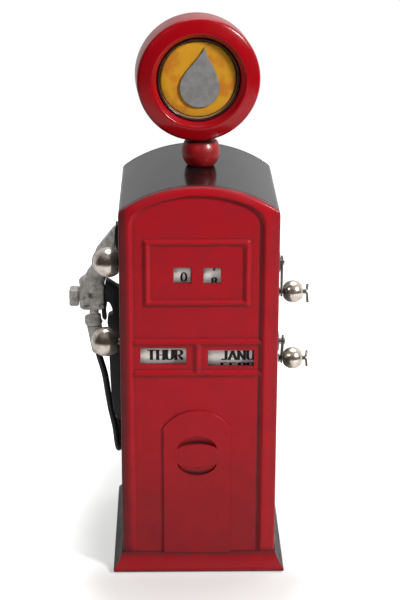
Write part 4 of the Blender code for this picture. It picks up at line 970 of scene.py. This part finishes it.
# a straight stroke is four numbers, an arc is its centre, radii and angles; a letter is 6 high
strokes = {
    "0": "2 3 1.7 3 0 360", "1": "2 0 2 6, 2 6 0.9 5.1",
    "2": "2 4.3 1.6 1.7 170 -40, 3.2 3.2 0.5 0, 0.5 0 3.7 0",
    "3": "1.9 4.5 1.4 1.5 150 -90, 1.9 1.5 1.6 1.5 90 -150",
    "4": "2.8 0 2.8 6, 2.8 6 0.3 1.7, 0.3 1.7 3.8 1.7",
    "5": "3.4 6 0.9 6, 0.9 6 0.8 3.4, 1.9 1.9 1.6 1.9 120 -150",
    "6": "2 1.8 1.6 1.8 0 360, 3.3 3.4 2.9 2.6 100 190", "7": "0.5 6 3.6 6, 3.6 6 1.6 0",
    "8": "2 4.5 1.3 1.5 0 360, 2 1.5 1.6 1.5 0 360", "9": "2 4.2 1.6 1.8 0 360, 0.7 2.6 2.9 2.6 -80 10",
    "A": "0.3 0 2.2 6, 2.2 6 4.1 0, 1 2 3.4 2",
    "B": "0.8 0 0.8 6, 0.8 6 2.2 6, 2.2 4.6 1.4 1.4 90 -90, 0.8 3.1 2.3 3.1, 2.3 1.55 1.6 1.55 90 -90, "
         "0.8 0 2.3 0",
    "C": "2.6 3 2.1 3 50 310", "D": "0.8 0 0.8 6, 0.8 6 1.8 6, 1.8 3 2.4 3 90 -90, 0.8 0 1.8 0",
    "E": "0.8 0 0.8 6, 0.8 6 3.6 6, 0.8 3.1 3 3.1, 0.8 0 3.8 0",
    "F": "0.8 0 0.8 6, 0.8 6 3.6 6, 0.8 3.1 3 3.1",
    "G": "2.6 3 2.1 3 50 330, 4.2 0.6 4.2 2.6, 3 2.6 4.4 2.6",
    "H": "0.8 0 0.8 6, 3.8 0 3.8 6, 0.8 3.1 3.8 3.1", "I": "1 0 1 6",
    "J": "2.6 6 2.6 1.6, 1.5 1.6 1.1 1.6 0 -150", "L": "0.8 0 0.8 6, 0.8 0 3.6 0",
    "M": "0.7 0 0.7 6, 0.7 6 2.5 1, 2.5 1 4.3 6, 4.3 6 4.3 0", "N": "0.8 0 0.8 6, 0.8 6 3.8 0, 3.8 0 3.8 6",
    "O": "2.5 3 2.1 3 0 360", "P": "0.8 0 0.8 6, 0.8 6 2.2 6, 2.2 4.4 1.5 1.6 90 -90, 0.8 2.8 2.2 2.8",
    "R": "0.8 0 0.8 6, 0.8 6 2.2 6, 2.2 4.5 1.5 1.5 90 -90, 0.8 3 2.2 3, 2.2 3 4 0",
    "S": "2.1 4.5 1.5 1.5 30 270, 2.1 1.5 1.7 1.5 90 -150", "T": "2.2 0 2.2 6, 0.2 6 4.2 6",
    "U": "0.7 6 0.7 2, 3.7 6 3.7 2, 2.2 2 1.5 2 180 360", "V": "0.3 6 2.1 0, 2.1 0 3.9 6",
    "W": "0.2 6 1.6 0, 1.6 0 2.9 5, 2.9 5 4.2 0, 4.2 0 5.6 6", "Y": "0.4 6 2.2 3, 4 6 2.2 3, 2.2 3 2.2 0",
}
inkHeight, inkDepth, serif = 0.03, 0.05, 0.95
advance = {"I": 2.0, "1": 4.0, "J": 3.7, "W": 5.9, "M": 5.1, "O": 5.1, "C": 4.9, "G": 5.0, "D": 4.9, "N": 4.7}
months = "JANU FEBR MARC APRI MAY JUNE JULY AUGU SEPT OCTO NOVE DECE"  # as much as the window has room for
drums = {
    "tens": {"labels": "0123012301", "size": 0.64, "at": -5.6, "start": -13.5},
    "units": {"labels": "8901234567", "size": 0.64, "at": 5.8, "start": -25.0},
    "weekday": {"labels": "THUR FRI SAT SUN MON TUES WED".split(), "size": 0.69, "at": -12.9, "start": -8.0},
    "month": {"labels": months.split(), "size": 0.66, "at": 14.9, "start": -9.5},
}


def strokePath(stroke):
    if len(stroke) == 4:
        a, b = Vector(stroke[:2]), Vector(stroke[2:])
        steps = max(2, round((b - a).length / 0.7))
        return [a.lerp(b, i / steps) for i in range(steps + 1)]
    x, y, rx, ry, start, end = stroke
    steps = max(6, round(abs(end - start) / 14))
    return [Vector((x + rx * c, y + ry * s)) for c, s in arcPoints((0, 0), 1, start, end, steps)]


def addStroke(bm, path, thin, thick, wrapped):  # a band whose width follows its direction, as in a book face
    pairs = []
    for i, point in enumerate(path):
        along = (path[min(i + 1, len(path) - 1)] - path[max(i - 1, 0)]).normalized()
        side = Vector((-along.y, along.x)) * (thin + (thick - thin) * abs(along.y) ** 1.5) / 2
        pairs.append([bm.verts.new(wrapped(point + side)), bm.verts.new(wrapped(point - side))])
    for (a, b), (c, d) in zip(pairs, pairs[1:]):
        bm.faces.new((a, b, d, c))


def addWord(bm, word, size, left, angle, drum):  # wraps a word round the drum's face at an angle
    radius, axisY, axisZ = drum
    widths = [advance.get(letter, 4.4) for letter in word]
    at = -sum(widths) / 2
    wide, thin, thick = (1.14, 0.55, 1.55) if word.isalpha() else (0.86, 0.55, 1.5)

    def wrapped(point):
        turn = radians(angle) + (point.y - 3) * size / radius
        reach = radius + inkHeight
        return Vector((left + (at + point.x) * size * wide, axisY - cos(turn) * reach,
                       axisZ + sin(turn) * reach)) * mm

    for letter, width in zip(word, widths):
        for stroke in strokes[letter].split(", "):
            stroke = [float(number) for number in stroke.split()]
            path = strokePath(stroke)
            addStroke(bm, path, thin, thick, wrapped)
            if len(stroke) == 4 and letter.isalpha() and abs(stroke[3] - stroke[1]) > 3:
                for end in (path[0], path[-1]):
                    if abs(abs(end.y - 3) - 3) < 0.01:
                        ends = [end + Vector((s, 0)) for s in (-serif, 0, serif)]
                        addStroke(bm, ends, 0.42, 0.42, wrapped)
        at += width


def makeDrums():
    for name, facts in drums.items():
        low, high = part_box(name + "_drum")
        x, y, z = (low + high) / 2 / mm
        radius, half = (high.z - low.z) / 2 / mm, (high.x - low.x) / 2 / mm
        edge, rim = radius - 0.25, radius - 1.2
        right = [(1.5, 2.5), (2.8, 2.5), (2.8, 0.6), (rim, 0.6), (rim, half), (edge, half),
                 (radius, half - 0.25)]
        left = [(r, -along) for r, along in reversed(right)]
        bm = spinProfile([*right, (radius, 0), *left, right[0]], 96, (x, y, z), (1, 0, 0))
        body = name + "_set"
        finishPiece(name + "Drum", bm, "drumWhite", body=body, replaced=[name + "_drum"],
                    sharp=35)
        bm = bmesh.new()
        labels = facts["labels"]
        for i, word in enumerate(labels):
            angle = facts["start"] - 360 / len(labels) * i
            addWord(bm, word, facts["size"], facts["at"], angle, (radius, y, z))
        for vert in pushFaces(bm, bm.faces[:]):
            out = Vector((0, vert.co.y - y * mm, vert.co.z - z * mm))
            vert.co -= out.normalized() * inkDepth * mm
        faceOutward(bm)
        finishPiece(name + "Print", bm, "printBlack", body=body, sharp=40)


makeDrums()
print("drums are made")

casting = {
    "nozzle_body": {"label": "castNozzle", "voxel": 0.3, "dent": 0.13, "shift": 0.0, "swell": 0.16},
    "valve_cap": {"label": "castCap", "voxel": 0.25, "dent": 0.1, "shift": -0.95, "swell": 0.12},
}
pitting = 0.06
blockAt = {"middle": -41.2, "low": 97.6, "high": 112.5, "widen": 0.95, "wallSide": -36.9}
holder = {
    "rest": [(-30.0, 133.6), (-32.05, 133.6), (-32.05, 117.6), (-31.4, 116.4), (-30.0, 116.0)],
    "arm": [
        (-30.0, 107.4), (-31.6, 107.8), (-33.4, 109.0), (-35.0, 110.2), (-36.65, 110.7), (-36.65, 101.6),
        (-35.7, 102.0), (-34.9, 101.6), (-34.2, 100.2), (-33.8, 98.6), (-33.6, 97.0), (-34.2, 96.3),
        (-35.2, 96.0), (-35.75, 95.3), (-35.9, 92.4), (-35.4, 91.0), (-35.3, 77.6), (-34.9, 64.9),
        (-34.3, 57.2), (-33.3, 53.2), (-31.9, 51.5), (-30.0, 51.0),
    ],
    "half": 3.0, "peg": 1.2, "pegLength": 5.0, "pegAt": 107.1,
}
lever = {
    "pin": (-38.0, 100.8), "half": 1.0, "outline": [
        (2.0, 1.7), (1.5, 1.8), (1.0, 1.0), (-0.4, 0.9), (-1.0, 0.0), (-0.4, -0.9), (-0.1, -3.0),
        (-0.1, -4.8), (0.1, -6.3), (0.9, -7.3), (1.75, -7.0), (2.0, -5.8), (1.75, -4.4), (1.7, -2.8),
        (2.0, -1.0), (2.2, 0.6),
    ],
}


def makeCasting(name):
    facts = casting[name]
    bm = bmesh.new()
    bm.from_mesh(nodes[name].data)
    bmesh.ops.transform(bm, matrix=nodes[name].matrix_world, verts=bm.verts)
    bmesh.ops.remove_doubles(bm, verts=bm.verts, dist=1e-5)
    faceOutward(bm)
    piece = finishPiece(facts["label"], bm, "castPewter", "nozzle", [name], sharp=180)
    addModifier(piece, "REMESH", mode="VOXEL", voxel_size=facts["voxel"] * mm, use_smooth_shade=True)
    addModifier(piece, "SMOOTH", factor=0.5, iterations=4)
    settle(piece, 180)
    bm = bmesh.new()
    bm.from_mesh(piece.data)
    bm.normal_update()
    hollow = bm.verts.layers.float.new("hollow")
    block = blockAt
    moves = []
    for vert in bm.verts:
        big = noise.noise(vert.co * 420)
        small = noise.noise(vert.co * 1500 + Vector((3, 7, 1)))
        rough = noise.noise(vert.co * 700 + Vector((9, 2, 5)))
        pit = smooth(rough + small * 0.5, 0.42, 0.7)
        out = big * facts["dent"] + small * pitting - pit * 0.1 + facts["swell"]
        x, _, z = vert.co / mm
        move = vert.normal * out + Vector((facts["shift"], 0, 0))
        if name == "nozzle_body":
            if x > block["wallSide"] and vert.normal.x > 0.3:  # keeps clear of the holder
                move = Vector((0, 0, 0))
            else:
                inBlock = smooth(z, block["low"], block["low"] + 2) * smooth(block["high"] - z, 0, 2.5)
                move.x -= smooth(block["middle"] + 1 - x, 0, 3.5) * inBlock * block["widen"]
        moves.append(move * mm)
        vert[hollow] = min(max(0.1 - big * 0.5, 0) + pit * 0.5, 1)
    for vert, move in zip(bm.verts, moves):
        vert.co += move
    bm.to_mesh(piece.data)
    bm.free()


def plateOf(outline, half, soft):  # a flat plate standing in the vertical plane, its rims rounded
    bm = slab(outline, -half, half)
    roundOff(bm, soft, lambda e: abs(e.verts[0].co.y - e.verts[1].co.y) < 1e-6)
    return bm


def makeHolder():
    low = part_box("nozzle_holder")[0]
    r, length = holder["peg"], holder["pegLength"]
    peg = [(0.0, length), (r - 0.3, length), (r, length - 0.3), (r, 0.0), (0.0, 0.0)]
    for name, bm, replaced in (
        ("nozzleHolder", plateOf(smoothOutline(holder["arm"]), holder["half"], 0.45), ["nozzle_holder"]),
        ("spoutRest", plateOf(holder["rest"], holder["half"], 0.3), []),
        ("holderPeg", spinProfile(peg, 32, (low.x / mm + length, 0, holder["pegAt"]), (-1, 0, 0)), []),
    ):
        finishPiece(name, bm, "blackPlastic", replaced=replaced)


def smoothOutline(corners):  # rounds the corners of a closed outline by cutting them twice
    line, wallX = corners, corners[0][0]
    for _ in range(2):
        cut = []
        for a, b in zip(line, line[1:] + line[:1]):
            if a[0] == b[0] == wallX:
                cut += [a, b]
            else:
                cut += [(a[0] + (b[0] - a[0]) * t, a[1] + (b[1] - a[1]) * t) for t in (0.25, 0.75)]
        line = cut
    return [p for i, p in enumerate(line) if p != line[i - 1]]


def makeLever():
    x, z = lever["pin"]
    bm = plateOf(smoothOutline([(x + a, z + b) for a, b in lever["outline"]]), lever["half"], 0.3)
    finishPiece("triggerLever", bm, "blackPlastic", "trigger", ["nozzle_trigger"])


for castName in casting:
    makeCasting(castName)
makeHolder()
makeLever()
print("nozzle is made")

keptFinish = {
    "felt": "blackFelt", "steel": "brightSteel", "brass": "plainBrass", "nickel": "agedSteel",
    "cast_pewter": "castPewter",
}
keptEdges = {"drum_bracket": 0.3, "units_crank": 0.15, "month_crank": 0.15}
slotOf = {s["node"]: s["material_slot"] for s in frame["record"]["subparts"]}
for name, node in nodes.items():
    if node.hide_render:
        continue
    aged = name.endswith(("_bush", "_washer"))
    node.data.materials.clear()
    node.data.materials.append(materials["agedSteel" if aged else keptFinish[slotOf[name]]])
    addModifier(node, "WELD", merge_threshold=0.00001)
    if name in keptEdges:
        softenEdges(node, keptEdges[name], 3, 40)
print("kept pieces are finished")
